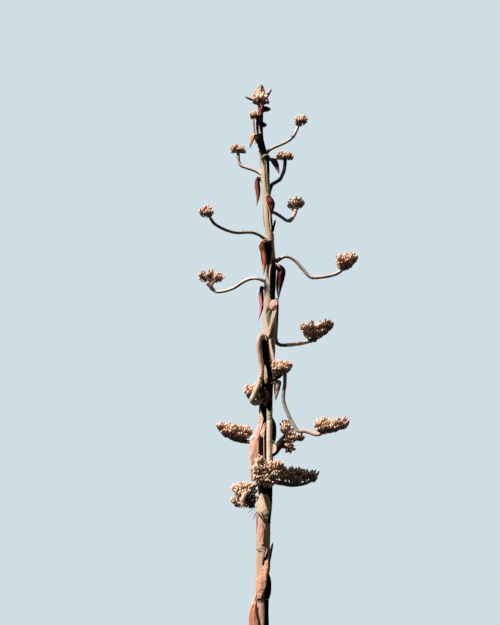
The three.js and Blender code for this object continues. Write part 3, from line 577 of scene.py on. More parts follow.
def fibrous(name, light, dark, patch, grain=(70, 70, 5), lower=None, lower_dark=None, roughness=0.7,
            relief=0.35, gloss=0.5, shade=None):
    """Plant skin: fibres along the grain, larger patches and a fine bump.

    "lower" tints it towards the ground, and "shade" is painted shade: its colour where it faces down and
    right, away from the key light.
    """
    material, tree, shader, coordinates = skin_material(name, roughness)
    place = coordinates.outputs["Object"]
    shader.inputs["Specular IOR Level"].default_value = gloss
    strands = noise(tree, place, grain, 0.36, 0.66, 5.0)
    colour = mixed(tree, strands, opaque(dark), opaque(light))
    if shade:
        # Painted shade: the side that faces away from the key light takes the darker colour.
        facing = add_node(tree, "ShaderNodeVectorMath", {0: coordinates.outputs["Normal"], 1: LIT_SIDE},
                          operation="DOT_PRODUCT").outputs["Value"]
        colour = mixed(tree, ramp(tree, facing, -0.28, 0.22), opaque(shade), colour)
    if lower:
        height = add_node(tree, "ShaderNodeSeparateXYZ", {"Vector": place}).outputs[2]
        low = ramp(tree, height, *LOWER_TINT)
        colour = mixed(tree, low, colour, mixed(tree, strands, opaque(lower_dark), opaque(lower)))
    spots = noise(tree, place, tuple(0.22 * g for g in grain), 0.52, 0.70, 3.0)
    colour = mixed(tree, spots, colour, opaque(patch))
    tree.links.new(colour, shader.inputs["Base Color"])
    add_relief(tree, shader, place, tuple(3 * g for g in grain), relief)
    return material


def dried(name, root, middle, tip, vein, grain=(190, 190, 9)):
    """A dry bract: one colour at its root, another at its middle and tip, with veins along it."""
    material, tree, shader, coordinates = skin_material(name, 0.6)
    along = coordinates.outputs["Generated"]
    height = add_node(tree, "ShaderNodeSeparateXYZ", {"Vector": along}).outputs[2]
    colour = mixed(tree, ramp(tree, height, 0.94, 0.66), opaque(root), opaque(middle))
    colour = mixed(tree, ramp(tree, height, 0.42, 0.10), colour, opaque(tip))
    veins = noise(tree, coordinates.outputs["Object"], grain, 0.48, 0.66)
    shader.inputs["Specular IOR Level"].default_value = 0.0
    tree.links.new(mixed(tree, veins, colour, opaque(vein)), shader.inputs["Base Color"])
    add_relief(tree, shader, coordinates.outputs["Object"], (420, 420, 30), 0.4)
    return material


EVEN_GRAIN = (55, 55, 55)
stalk_skin = fibrous("stalk_skin", (0.60, 0.47, 0.35), (0.40, 0.30, 0.20), (0.29, 0.27, 0.155),
                     lower=(0.62, 0.41, 0.32), lower_dark=(0.45, 0.27, 0.19))
sheath_skin = fibrous("sheath_skin", (0.64, 0.42, 0.32), (0.46, 0.25, 0.17), (0.50, 0.34, 0.20))

# The limbs' barks: the light and the dark fibres, and the patches.
BARK_COLOURS = {
    "cream": ((0.58, 0.44, 0.34), (0.40, 0.28, 0.20), (0.24, 0.21, 0.13)),
    "olive": ((0.50, 0.46, 0.34), (0.32, 0.29, 0.20), (0.54, 0.44, 0.34)),
    "dusk": ((0.21, 0.19, 0.15), (0.11, 0.10, 0.08), (0.34, 0.26, 0.20)),
    "pink": ((0.66, 0.45, 0.37), (0.50, 0.32, 0.24), (0.46, 0.36, 0.23)),
    "green": ((0.46, 0.42, 0.26), (0.29, 0.29, 0.15), (0.56, 0.42, 0.30)),
    "grey": ((0.31, 0.29, 0.22), (0.19, 0.175, 0.125), (0.40, 0.33, 0.25)),
    # Painted shade: "night" paints a whole limb near black, as a limb lying in shadow looks.
    "night": ((0.014, 0.010, 0.009), (0.007, 0.005, 0.005), (0.05, 0.03, 0.025)),
    "pale": ((0.80, 0.62, 0.52), (0.60, 0.46, 0.37), (0.50, 0.42, 0.32)),
    "ivory": ((0.78, 0.64, 0.48), (0.66, 0.50, 0.38), (0.68, 0.46, 0.36)),
    "umber": ((0.12, 0.085, 0.065), (0.05, 0.035, 0.03), (0.26, 0.17, 0.14)),
}
# Painted shade: the colour a bark is given on its side away from the key light, where it has one.
BARK_SHADES = {"olive": (0.05, 0.048, 0.035), "pale": (0.035, 0.03, 0.025)}
BARKS = {name: fibrous(f"bark_{name}", *colours, EVEN_GRAIN, gloss=0.1 if name == "night" else 0.5,
                       shade=BARK_SHADES.get(name)) for name, colours in BARK_COLOURS.items()}

# The hanging bracts: root, middle, tip and veins, and the veins' grain where it isn't the usual one.
DRIED_COLOURS = {
    "pink": ((0.70, 0.44, 0.36), (0.66, 0.38, 0.30), (0.06, 0.025, 0.025), (0.50, 0.22, 0.17)),
    "night": ((0.006, 0.003, 0.004), (0.006, 0.003, 0.004), (0.40, 0.15, 0.15), (0.02, 0.006, 0.008)),
    "russet": ((0.10, 0.015, 0.02), (0.17, 0.05, 0.03), (0.50, 0.25, 0.14), (0.50, 0.14, 0.14)),
    "plum": ((0.16, 0.03, 0.04), (0.11, 0.016, 0.016), (0.52, 0.24, 0.14), (0.46, 0.17, 0.16)),
    "ash": ((0.03, 0.012, 0.015), (0.10, 0.014, 0.02), (0.60, 0.45, 0.38), (0.20, 0.06, 0.06)),
    "rosy": ((0.02, 0.01, 0.012), (0.45, 0.15, 0.22), (0.66, 0.44, 0.38), (0.62, 0.34, 0.32)),
    "red": ((0.14, 0.015, 0.012), (0.50, 0.15, 0.06), (0.52, 0.25, 0.15), (0.11, 0.045, 0.02), (48, 48, 40)),
    "straw": ((0.60, 0.43, 0.33), (0.60, 0.42, 0.31), (0.10, 0.06, 0.05), (0.26, 0.13, 0.10)),
}
DRIED = {name: dried(f"dried_{name}", *colours) for name, colours in DRIED_COLOURS.items()}

# The sheets and ridges on the stalk, in the order of their skins' numbers, as for the barks.
SHEET_COLOURS = {
    "cream": ((0.70, 0.52, 0.41), (0.52, 0.34, 0.25), (0.44, 0.36, 0.22)),
    "pink": ((0.76, 0.46, 0.37), (0.62, 0.31, 0.22), (0.70, 0.50, 0.38)),
    # Near black: mostly painted shade, on the stalk and on the hanging bracts' shaded sides.
    "night": ((0.009, 0.006, 0.005), (0.004, 0.003, 0.003), (0.020, 0.009, 0.009)),
    "olive": ((0.28, 0.26, 0.14), (0.13, 0.12, 0.06), (0.40, 0.32, 0.20)),
    "maroon": ((0.22, 0.035, 0.045), (0.09, 0.012, 0.018), (0.42, 0.12, 0.10)),
    "orange": ((0.68, 0.36, 0.24), (0.48, 0.22, 0.12), (0.60, 0.40, 0.24)),
    "brick": ((0.46, 0.18, 0.10), (0.33, 0.11, 0.06), (0.58, 0.29, 0.19)),
    "tan": ((0.64, 0.47, 0.34), (0.46, 0.33, 0.22), (0.44, 0.33, 0.18)),
}
PLATE_SKINS = [fibrous(f"sheet_{name}", *colours, gloss=0.0 if name == "night" else 0.5)
               for name, colours in SHEET_COLOURS.items()]
dry_skin = fibrous("dry_skin", (0.62, 0.40, 0.28), (0.42, 0.22, 0.15), (0.46, 0.16, 0.11))
leaf_skin = fibrous("leaf_skin", (0.27, 0.34, 0.26), (0.19, 0.26, 0.20), (0.33, 0.38, 0.30), (14, 14, 14),
                    roughness=0.5, relief=0.15)
horn = plain("horn", (0.09, 0.05, 0.035), 0.4)

# Materials of the branchlets and of a limb, by number.
TWIG, HEART, SCALE, KEEL, KNOB = range(5)
LIMB_BARK, LIMB_SCALE, LIMB_SLEEVE = range(3)
branchlet_skins = [
    plain("twig_skin", (0.54, 0.37, 0.28), 0.7), plain("heart_skin", (0.10, 0.075, 0.035), 0.8),
    plain("scale_skin", (0.34, 0.19, 0.12), 0.7), plain("keel_skin", (0.06, 0.045, 0.035), 0.7),
    plain("knob_skin", (0.66, 0.45, 0.37), 0.7),
]

# The buds' skins: two for the ovary at each one's foot, and the tints of bodies and tips.
OVARIES = [plain("ovary_olive", (0.18, 0.145, 0.065)), plain("ovary_brown", (0.14, 0.08, 0.045))]
TINTS = {
    "apricot": (0.68, 0.37, 0.23), "peach": (0.60, 0.28, 0.17), "cream": (0.74, 0.54, 0.37),
    "rose": (0.60, 0.32, 0.25), "amber": (0.40, 0.19, 0.085), "olive": (0.25, 0.21, 0.10),
    # The near-black tint is painted shade, for buds that lie in shade.
    "rust": (0.16, 0.065, 0.04), "shade_black": (0.03, 0.018, 0.015),
    "tip": (0.88, 0.67, 0.50), "tip_rose": (0.86, 0.57, 0.45),
}
bud_skins = OVARIES + [plain(f"bud_{name}", colour) for name, colour in TINTS.items()]
tint_kind = {name: len(OVARIES) + i for i, name in enumerate(TINTS)}

# How often each tint comes up in a head.
MOODS = {
    "peach": {"apricot": 5, "peach": 4, "cream": 3, "rose": 3, "amber": 2},
    "cream": {"apricot": 3, "peach": 2, "cream": 5, "rose": 1, "olive": 2, "amber": 2},
    "mixed": {"olive": 3, "amber": 3, "cream": 3, "peach": 3},
    "olive": {"olive": 5, "amber": 3, "rust": 2, "cream": 2, "peach": 1},
    "rust": {"peach": 3, "amber": 4, "rust": 2, "olive": 2, "cream": 2},
    # Painted shade: the "dark" mood gives near-black buds to clusters that lie in shade.
    "dark": {"shade_black": 6, "rust": 1},
}


def angle_from(angles, bearing):
    """How far each angle is from a bearing, the shorter way round."""
    return (angles - math.radians(bearing) + math.pi) % (2 * math.pi) - math.pi


def stalk_piece():
    """The stalk's skin: fibrous ridges, a swelling and a fine line at each branch, scars and the groove."""
    top = STALK[-1][0]
    z = np.linspace(0, top, int(top / STALK_STEP))
    bell = np.hanning(11)[1:-1]
    bell /= bell.sum()
    pad = len(bell) // 2
    lean, radius = (np.convolve(np.pad(bends(z), pad, mode="edge"), bell, "valid")
                    for bends in (stalk_x, stalk_radius))
    angles = np.linspace(0, 2 * math.pi, STALK_SIDES, endpoint=False)
    zz, aa = np.meshgrid(z, angles, indexing="ij")
    around, along = aa / (2 * math.pi), zz / top
    relief = ripple(1, 40, 19, around, along) + 0.6 * ripple(2, 160, 31, around, along)
    relief += 1.6 * ripple(3, 34, 5, around, along)
    for branch in BRANCHES:
        near = angle_from(aa, branch["bearing"])
        rise = zz - branch["foot"]
        relief += 0.7 * branch["radius"] * bump(near, 0.55) * bump(rise + 6, 34)
        relief += 1.6 * bump(near, 1.5) * bump(rise + 30, 5)
    for height in SCARS:
        rise = zz - height - 3 * np.sin(aa * 2)
        relief += 0.7 * bump(rise - 7, 6) - 2.4 * bump(rise, 4)
    near = angle_from(aa, GROOVE["bearing"])
    ends = [np.clip(gap / GROOVE["fade"], 0, 1) for gap in (zz - GROOVE["low"], GROOVE["high"] - zz)]
    relief -= GROOVE["depth"] * bump(near, GROOVE["half_angle"]) * ends[0] * ends[1]
    fade = np.clip((top - zz) / 60, 0, 1) * np.clip(radius / 20, 0, 1)[:, None]
    reach = np.maximum(radius[:, None] + relief * fade, 0.2)
    rings = np.stack([lean[:, None] + reach * np.cos(aa), reach * np.sin(aa), zz], -1)
    shell = Shell()
    shell.loft(rings)
    shell.piece("stalk_skin", [stalk_skin], "stalk", ["stalk"])


def sheet(shell, face, inward, thickness, kind=0):
    """A thin closed sheet: rows of corners over its face, thickened inward and thinned to its edges."""
    across = np.linspace(-1, 1, face.shape[1])
    depth = thickness * (0.25 + 0.75 * np.sqrt(np.clip(1 - across**4, 0, 1)))
    back = face + inward * depth[None, :, None]
    shell.loft(np.concatenate([face, back[:, ::-1]], 1), kind)


def sheath(shell, foot, bearing, length, half_angle, stand_off, seed, cling=3.0, lift=5.0):
    """A bract that clasps the stalk, narrows to a point and lifts at its edges and tip."""
    rows, columns = 34, 21
    t = np.linspace(0, 1, rows)[:, None]
    s = np.linspace(-1, 1, columns)[None, :]
    z = foot + length * t + 0 * s
    narrowing = np.clip(1 - t**1.6, 0, 1) ** 0.8 * (1 - 0.25 * t) + 0.02
    angle = math.radians(bearing) + np.radians(half_angle) * narrowing * s + 0.1 * np.sin(3 * t + seed)
    wave = ripple(seed, 5, 7, (s + 1) / 2 + 0 * t, t + 0 * s)
    off = cling * (1 - 0.9 * (1 - t) ** 6) + stand_off * t**3 + 1.4 * wave
    off = off + (lift * t**0.5) * np.abs(s) ** 4
    z = z - 14 * (1 - t) * np.abs(s) ** 2
    reach = stalk_radius(z) + off
    face = np.stack([stalk_x(z) + reach * np.cos(angle), reach * np.sin(angle), z], -1)
    inward = np.stack([-np.cos(angle), -np.sin(angle), 0 * z], -1)
    sheet(shell, face, inward, 2.4)


SKIN_CLEARANCE = 4.5  # keeps sheets and ridges above the skin's own ridges
CLOSE_SHARE, CLOSE_OFF = 0.86, 5  # how wide and how far off a sheet that is pressed to the skin may be


def on_stalk(z, across, off, facing, close):
    """Places beside the stalk: how far across the view from a bearing and how far off its skin.

    Each is lowered with the view's slope, so that from the front it covers the stalk's middle at its height.
    """
    way, side = turned(facing)
    reach = stalk_radius(z) + SKIN_CLEARANCE
    if close:
        across = np.clip(across, -CLOSE_SHARE * reach, CLOSE_SHARE * reach)
        off = np.clip(off, 0, CLOSE_OFF)
    depth = np.sqrt(np.maximum((reach + off) ** 2 - across**2, 4.0))
    middle = np.stack([stalk_x(z), 0 * z, z - depth * (z - EYE[2]) / EYE[1]], -1)
    return middle + side * across[..., None] + way * depth[..., None]


def raised(rows, rise):
    """The rise of a sheet or ridge in its set: none for one at the stalk's tip."""
    return 0 if max(row[0] for row in rows) > TIP_SHEETS else rise


def plate(shell, rows, kind, seed, facing, rise, close):
    """A sheet that wraps the stalk. Each row: height, left and right edge, and how far each stands off."""
    thickness, columns = 3.0, 13
    table = catmull(np.array(rows, float), 7)
    z, left, right, off_left, off_right = (table[:, k:k + 1] for k in range(5))
    t = np.linspace(0, 1, columns)[None, :]
    across, off = left + (right - left) * t, off_left + (off_right - off_left) * t
    down = np.linspace(0, 1, len(table))[:, None]
    folds = ripple(seed, 2 * len(rows), 5, t + 0 * down, down + 0 * t)
    face = on_stalk(z + raised(rows, rise) + 0 * t, across, off + 2.2 * folds, facing, close)
    way, _ = turned(facing)
    sheet(shell, face, np.broadcast_to(-way, face.shape), thickness, kind)


def ridge(shell, stops, radius, kind, facing, rise, close):
    """A raised line on the stalk. Each stop: height, place across and how far off the skin."""
    table = catmull(np.array(stops, float), 8)
    places = on_stalk(table[:, 0] + raised(stops, rise), table[:, 1], table[:, 2], facing, close)
    t = np.linspace(0, 1, len(places))
    tube(shell, places, radius * (0.35 + 0.65 * np.sin(math.pi * np.clip(t, 0.04, 0.96)) ** 0.5), 7, kind)


BLADE_END = 0.985  # a blade stops a little short, where it still has a width


def outline(t, root, widest, bluntness=1.0):
    """A blade's width from its root to its tip, as a share of its width at the widest."""
    swell = root + (1 - root) * np.sin(np.minimum(t / widest, 1) * math.pi / 2)
    fall = np.where(t > widest, np.cos((t - widest) / (1 - widest) * math.pi / 2), 1)
    return swell * fall.clip(0) ** bluntness


def blade(shell, curve, bearing, width, thickness, root, widest, cup, turn, twist, seed, rows, columns, wave,
          kind=0, shade_split=1.0):
    """A channelled blade along a curve, as in the solids but thin, twisted and wavy.

    A part of its width beyond the split takes the shell's second material: for the hanging bracts, black
    painted shade on the shaded side.
    """
    places, ways, _ = even(curve, rows)
    _, across = turned(bearing)
    t = np.linspace(0, BLADE_END, rows)
    across = np.broadcast_to(across, ways.shape)
    back = np.cross(across, ways)
    roll = (turn * np.minimum(t * 3, 1) + twist * t)[:, None]
    across, back = across * np.cos(roll) + back * np.sin(roll), back * np.cos(roll) - across * np.sin(roll)
    half = (width / 2 * outline(t, root, widest))[:, None]
    s = np.linspace(-1, 1, columns)[None, :]
    folds = ripple(seed, 9, 6, (s + 1) / 2 + 0 * t[:, None], t[:, None] + 0 * s) * wave
    dip = -cup * s**2 * half + folds * half / (width / 2)
    wide = s * half * (1 - 0.18 * cup * s**2)
    face = places[:, None] + across[:, None] * wide[..., None] + back[:, None] * dip[..., None]
    inward = np.broadcast_to(back[:, None], face.shape)
    taper = thickness * (1 - 0.55 * t)
    if shade_split < 1:
        beyond = np.arange(columns) >= shade_split * columns
        kind = np.concatenate([beyond, beyond[::-1]]).astype(int)
    sheet(shell, face, inward * taper[:, None, None], 1.0, kind)


def tube(shell, places, radii, sides, kind=0, relief=None):
    """A round limb through places that bend gently."""
    ways = unit(np.gradient(places, axis=0))
    first, second = beside(ways)
    for i in range(1, len(ways)):
        first[i] = unit(first[i - 1] - ways[i] * first[i - 1].dot(ways[i]))
        second[i] = np.cross(ways[i], first[i])
    angles = np.linspace(0, 2 * math.pi, sides, endpoint=False)
    reach = np.asarray(radii)[:, None] + (0 if relief is None else relief)
    spokes = first[:, None] * np.cos(angles)[:, None] + second[:, None] * np.sin(angles)[:, None]
    shell.loft(places[:, None] + spokes * np.broadcast_to(reach, (len(places), sides))[..., None], kind)


LIMB_STEP = 4.5
LIMB_SIDES = 20


def branch_piece(branch, seed):
    """A side branch: ribbed skin, a flared foot that runs into the stalk, a sleeve and a few worn nodes."""
    curve = route_from(branch["foot"], branch["bearing"], branch["route"])
    length = np.linalg.norm(np.diff(curve, axis=0), axis=1).sum()
    count = int(length / LIMB_STEP)
    places, _, at = even(curve, count)
    t = at / length
    flat_out = np.hypot(places[:, 0] - stalk_x(places[:, 2]), places[:, 1])
    clear = np.maximum(flat_out - stalk_radius(places[:, 2]), 0)
    flare = 1 + 0.35 * np.maximum(0, 1 - t * 6) + 0.45 * np.exp(-clear / 9) * (t < 0.5)
    radii = branch["radius"] * flare
    around = np.linspace(0, 1, LIMB_SIDES, endpoint=False)[None, :] + 0 * t[:, None]
    along = t[:, None] + 0 * around
    rows = max(3, int(length / 45))
    relief = 0.05 * branch["radius"] * ripple(seed, rows, 7, around, along)
    relief += 0.03 * branch["radius"] * ripple(seed + 1, rows * 3, 10, around, along)
    random = np.random.default_rng(seed)
    nodes = random.uniform(0.25, 0.9, max(1, int(length / 190)))
    for node in nodes:
        gap = (along - node) * length
        relief += 0.10 * branch["radius"] * (bump(gap - 4, 5) - 0.9 * bump(gap, 2.6))
    shell = Shell()
    tube(shell, places, radii, LIMB_SIDES, LIMB_BARK, relief)
    start, end, look, extra = branch.get("sleeve", (0, 0, "cream", 0))
    if end:
        part = slice(int(start * count), int(end * count))
        tube(shell, places[part], radii[part] + extra, LIMB_SIDES, LIMB_SLEEVE, relief[part])
    for node in nodes:
        i = int(node * (count - 1))
        way = unit(places[min(i + 3, count - 1)] - places[i - 3])
        out = square_to(way, random.uniform(0, 2 * math.pi))
        small_scale(shell, places[i] + out * branch["radius"] * 0.9, way, out, 16 + 10 * random.random(),
                    branch["radius"] * 0.9, LIMB_SCALE)
    skins = [BARKS[branch["bark"]], branchlet_skins[SCALE], BARKS[look]]
    shell.piece(f"limb_{branch['name']}", skins, "branch", [f"branch_{branch['name']}"])
    return places


def small_scale(shell, place, way, out, length, width, kind):
    """A small dry scale that lies along a limb and lifts at its tip."""
    rows, columns = 6, 5
    t = np.linspace(0, 1, rows)[:, None, None]
    s = np.linspace(-1, 1, columns)[None, :, None]
    side = np.cross(way, out)
    half = width / 2 * (1 - 0.93 * t**1.5)
    lift = 0.35 * length * t**2 - 0.25 * half * s**2
    face = place + way * (t * length) + out * lift + side * (s * half)
    sheet(shell, face, np.broadcast_to(-out, face.shape), 1.6, kind)


# A bud from its stalk to its tip: how far along, how thick, and which part it is (0 ovary, 1 bud, 2 tip).
BUD_PROFILE = [
    (0.00, 0.26, 0), (0.12, 0.46, 0), (0.26, 0.66, 0), (0.40, 0.68, 0), (0.49, 0.56, 1), (0.60, 0.82, 1),
    (0.74, 1.00, 2), (0.88, 0.94, 2), (0.97, 0.60, 2),
]
BUD_SIDES = 6
BUD_BEND = 0.16  # how far a bud bends upwards, as a share of its length


def add_buds(shell, bases, tips, girths, rolls, kinds):
    """Many buds at once. Each bends a little upwards on its way from base to tip."""
    profile = np.array(BUD_PROFILE)
    t, thick = profile[:, 0], profile[:, 1]
    chord = tips - bases
    length = np.linalg.norm(chord, axis=1, keepdims=True)
    ways = chord / length
    first, second = beside(ways)
    sag = (t * (t - 1))[None, :, None] * BUD_BEND * length[:, None] * UP
    middle = bases[:, None] + chord[:, None] * t[None, :, None] + sag
    angles = np.linspace(0, 2 * math.pi, BUD_SIDES, endpoint=False)[None, :] + rolls[:, None]
    spokes = first[:, None] * np.cos(angles)[..., None] + second[:, None] * np.sin(angles)[..., None]
    rings = middle[:, :, None] + spokes[:, None] * (girths[:, None] * thick[None])[:, :, None, None]
    count, per = len(bases), len(t) * BUD_SIDES
    corners = np.concatenate([rings.reshape(count, per, 3), bases[:, None], tips[:, None]], 1)
    i = np.arange(BUD_SIDES)
    j = (i + 1) % BUD_SIDES
    walls, parts = [], []
    for ring, (_, _, part) in enumerate(BUD_PROFILE[:-1]):
        low = ring * BUD_SIDES
        walls.append(np.stack([low + i, low + j, low + j + BUD_SIDES, low + i + BUD_SIDES], 1))
        parts += [part] * BUD_SIDES
    walls = np.vstack(walls)
    last = per - BUD_SIDES
    foot = np.stack([j, i, np.full(BUD_SIDES, per)], 1)
    point = np.stack([last + i, last + j, np.full(BUD_SIDES, per + 1)], 1)
    step = (np.arange(count) * (per + 2))[:, None, None]
    groups = [(group[None] + step).reshape(-1, group.shape[1]) for group in (walls, foot, point)]
    ends = [np.repeat(kinds[:, part], BUD_SIDES) for part in (0, 2)]
    shell.add(corners, groups, [kinds[:, parts].ravel(), *ends])


def ball(shell, centre, radii, kind, rings=6, sides=8):
    """A round body: the heart that a cluster's buds grow from, or a young bud."""
    polar = np.linspace(0.12, math.pi - 0.12, rings)[:, None]
    angles = np.linspace(0, 2 * math.pi, sides, endpoint=False)[None, :]
    shape = [np.sin(polar) * np.cos(angles), np.sin(polar) * np.sin(angles), -np.cos(polar) + 0 * angles]
    shell.loft(centre + np.stack(shape, -1) * np.asarray(radii), kind)


taken = []  # balls that buds keep clear of


def clear_of(places, balls, margin):
    """Which places lie outside the stalk and the balls."""
    x, y, z = places.T
    free = np.hypot(x - stalk_x(z), y) > stalk_radius(z) + margin
    for centre, radius in balls:
        free &= np.linalg.norm(places - centre, axis=1) > radius + margin
    return free


BUD_PITCH = 14.0  # from one bud to the next round a layer
LAYER = 29.0  # from one layer of tips to the next
BUD_REACH = 1.18  # how far past a cluster's radius its buds end
DOME = 0.82  # how flat the clusters' tops are
PALE_TIPS, ROSY_TIPS = 0.45, 0.70  # the shares of buds with a pale tip, and with a pale or a rosy one


def tuft_tips(centre, reach, root, fill, random):
    """Where a cluster's buds end: in layers over its dome, then down the cone that narrows to its root."""
    tips, leans = [], []
    depth = max(float(centre[2] - root[2]), reach)
    high = reach * DOME
    level = high - 3
    while level > -depth * fill:
        if level >= 0:
            ring = reach * math.sqrt(1 - (level / high) ** 2)
        else:
            ring = reach * (1 + 0.74 * level / depth)
        count = max(2, int(2 * math.pi * ring / BUD_PITCH))
        spin = np.arange(count) * 2 * math.pi / count + random.uniform(0, 6)
        way = np.stack([np.cos(spin), np.sin(spin), 0 * spin], 1)
        middle = centre + (root - centre) * max(-level / depth, 0) * [1, 1, 0]
        wobble = random.normal(0, 1, (count, 3)) * [2.2, 2.2, 7.0]
        tips.append(middle + way * ring + UP * level + wobble)
        leans.append(way * min(ring / reach, 1))
        level -= LAYER * (0.65 if level > high * 0.4 else 1.0)
    return np.vstack(tips), np.vstack(leans)


def cluster(buds, twigs, centre, radius, root, fill, others, mood, random):
    """One tuft of upright buds over a small dark heart, clear of the other clusters."""
    reach = radius * BUD_REACH
    tips, leans = tuft_tips(centre, reach, root, fill, random)
    free = clear_of(tips, taken, 3)
    for other, size in others:
        free &= np.linalg.norm((tips - other) * [1, 1, 0.8], axis=1) > size * 0.78
    tips, leans = tips[free], leans[free]
    if not len(tips):
        return
    outward = (tips - root) * [1, 1, 0]
    outward /= max(reach * 2.2, float(np.abs(outward).max()))
    way = unit(UP + leans * 0.32 + outward * 0.4 + random.normal(0, 0.07, tips.shape))
    lengths = np.minimum(random.uniform(42, 54, len(tips)), reach * 1.5)
    lengths = np.minimum(lengths, np.maximum(tips[:, 2] - root[2] + 6, 14))
    bases = tips - way * lengths[:, None] - leans * 4
    names = list(MOODS[mood])
    odds = np.array([MOODS[mood][name] for name in names], float)
    picks = random.choice(len(names), len(tips), p=odds / odds.sum())
    kinds = np.zeros((len(tips), 3), int)
    kinds[:, 0] = random.integers(0, len(OVARIES), len(tips))
    kinds[:, 1] = np.array([tint_kind[name] for name in names])[picks]
    # Buds painted dark as shade get few pale tips.
    pale = random.random(len(tips)) + (0.62 if mood == "dark" else 0)
    rosy = np.where(pale < ROSY_TIPS, tint_kind["tip_rose"], kinds[:, 1])
    kinds[:, 2] = np.where(pale < PALE_TIPS, tint_kind["tip"], rosy)
    girths = random.uniform(5.4, 6.8, len(tips))
    add_buds(buds, bases, tips, girths, random.uniform(0, 1, len(tips)), kinds)
    ball(twigs, centre - UP * radius * 0.3, (radius * 0.5, radius * 0.5, radius * 0.45), HEART)


def all_but(clusters, k):
    """The clusters without the one at this number."""
    return clusters[:k] + clusters[k + 1:]


def head_clusters(branch, fork, numbers):
    """The clusters' places and sizes, with those in front of the keel last.

    A cluster well to one side of the keel has its fellow on the other, unless the head has one side only.
    """
    recede = branch.get("recede", 0)
    clusters = []
    rows = branch["rows"] + branch.get("more", [])
    for row, (across0, up0, across1, up1, count, radius) in enumerate(rows):
        for i in range(count):
            t = i / (count - 1) if count > 1 else 0.5
            side = (1 if (i + row) % 2 else -1) * branch["spread"] * (0.75 + 0.5 * next(numbers))
            shift = side if count > 1 or row == 0 else side * 0.3
            if "behind" in branch:
                shift = branch["behind"] + 0.6 * abs(shift)
            across, up = across0 + (across1 - across0) * t, up0 + (up1 - up0) * t
            middle = fork + np.array([across, across * recede, up])
            clusters.append((middle + [0, shift, 0], radius))
            if abs(shift) > radius * 0.45 and not branch.get("single"):
                clusters.append((middle + [0, -shift * 0.85, -2], radius * 0.93))
    clusters += [(fork + [across, back, up], radius) for across, back, up, radius in branch.get("fore", [])]
    return clusters


TWIG_LIFT = 0.15


def twig(shell, start, end, start_radius, end_radius, kind=TWIG, sides=7):
    """A short branchlet that curves upwards."""
    t = np.linspace(0, 1, 7)[:, None]
    span = np.linalg.norm(end - start)
    places = start + (end - start) * t + UP * TWIG_LIFT * span * (t - 1) * t
    tube(shell, places, np.linspace(start_radius, end_radius, 7), sides, kind)


def branchlets(twigs, spine, clusters, random):
    """The branchlets and scales from the keel to each cluster. Gives the foot of each cluster's buds."""
    feet = []
    for centre, size in clusters:
        root = centre - UP * size * 0.5
        nearest = int(np.argmin(np.linalg.norm(spine - root, axis=1)) * 0.8)
        foot = spine[nearest]
        feet.append(foot if foot[2] < root[2] else root)
        twig(twigs, foot, root, 5.6, 4.2)
        middle = foot + (root - foot) * 0.62
        for _ in range(3):
            spot = root + random.normal(0, size * 0.28, 3) * [1, 1, 0.4]
            twig(twigs, middle, spot, 3.4, 2.6, sides=5)
        way = unit(root - foot)
        out = square_to(way, random.uniform(0, 2 * math.pi))
        place = foot + (root - foot) * 0.5 + out * 3.5
        small_scale(twigs, place, way, out, random.uniform(14, 24), 9, SCALE)
    return feet


def head(branch, curve, seed, buds, twigs):
    """A flower head: the keel that runs on from the branch, branchlets, scales and clusters of buds."""
    numbers = seeded(seed)
    random = np.random.default_rng(seed)
    fork, along = curve[-1], unit(curve[-1] - curve[-4])
    radius = branch["radius"]
    recede = branch.get("recede", 0)
    stops = [fork + np.array([across, across * recede, up]) for across, up in branch.get("keel", [])]
    spine = catmull([fork - along * 4, fork + along * radius * 1.6, *stops], 12)
    places, _, at = even(spine, max(6, int(len(spine) / 3)))
    thin = np.interp(at / at[-1], [0, 0.25, 1], [radius, radius * 0.86, radius * 0.55])
    # A dark limb gives its keel and scales the dark keel skin; after a "night" limb that is painted shade as
    # well.
    dark = branch["bark"] in ("umber", "night", "dusk")
    tube(twigs, places, thin, 12, KEEL if dark else TWIG)
    clusters = head_clusters(branch, fork, numbers)
    feet = branchlets(twigs, spine, clusters, random)
    for i in range(5):
        out = square_to(along, i * 2 * math.pi / 5 + random.uniform(0, 0.8))
        small_scale(twigs, fork + along * 4 + out * radius * 0.8, along, out, random.uniform(20, 32), radius,
                    KEEL if dark else SCALE)
    for across, back, up, size in branch.get("knobs", []):
        ball(twigs, fork + [across, back, up], (size, size * 0.8, size), KNOB, 8, 12)
    # Painted shade: tufts of near-black buds where the head lies in shade.
    for across, back, up, size in branch.get("shade_tufts", []):
        centre = fork + np.array([across, back, up])
        twig(twigs, spine[0], centre, 5.0, 4.0, kind=KEEL)
        cluster(buds, twigs, centre, size, fork, 0.9, [], "dark", random)
    for i, (centre, size) in enumerate(clusters):
        # Clusters beyond dark_from are painted dark, as painted shade.
        mood = "dark" if centre[0] - fork[0] > branch.get("dark_from", math.inf) else branch["buds"]
        fill = branch.get("fill", 0.6)
        cluster(buds, twigs, centre, size, feet[i], fill, all_but(clusters, i), mood, random)
    taken.extend((centre, size * 0.9) for centre, size in clusters)


CROWN_CLUSTERS, CROWN_BUDS = 7, 11


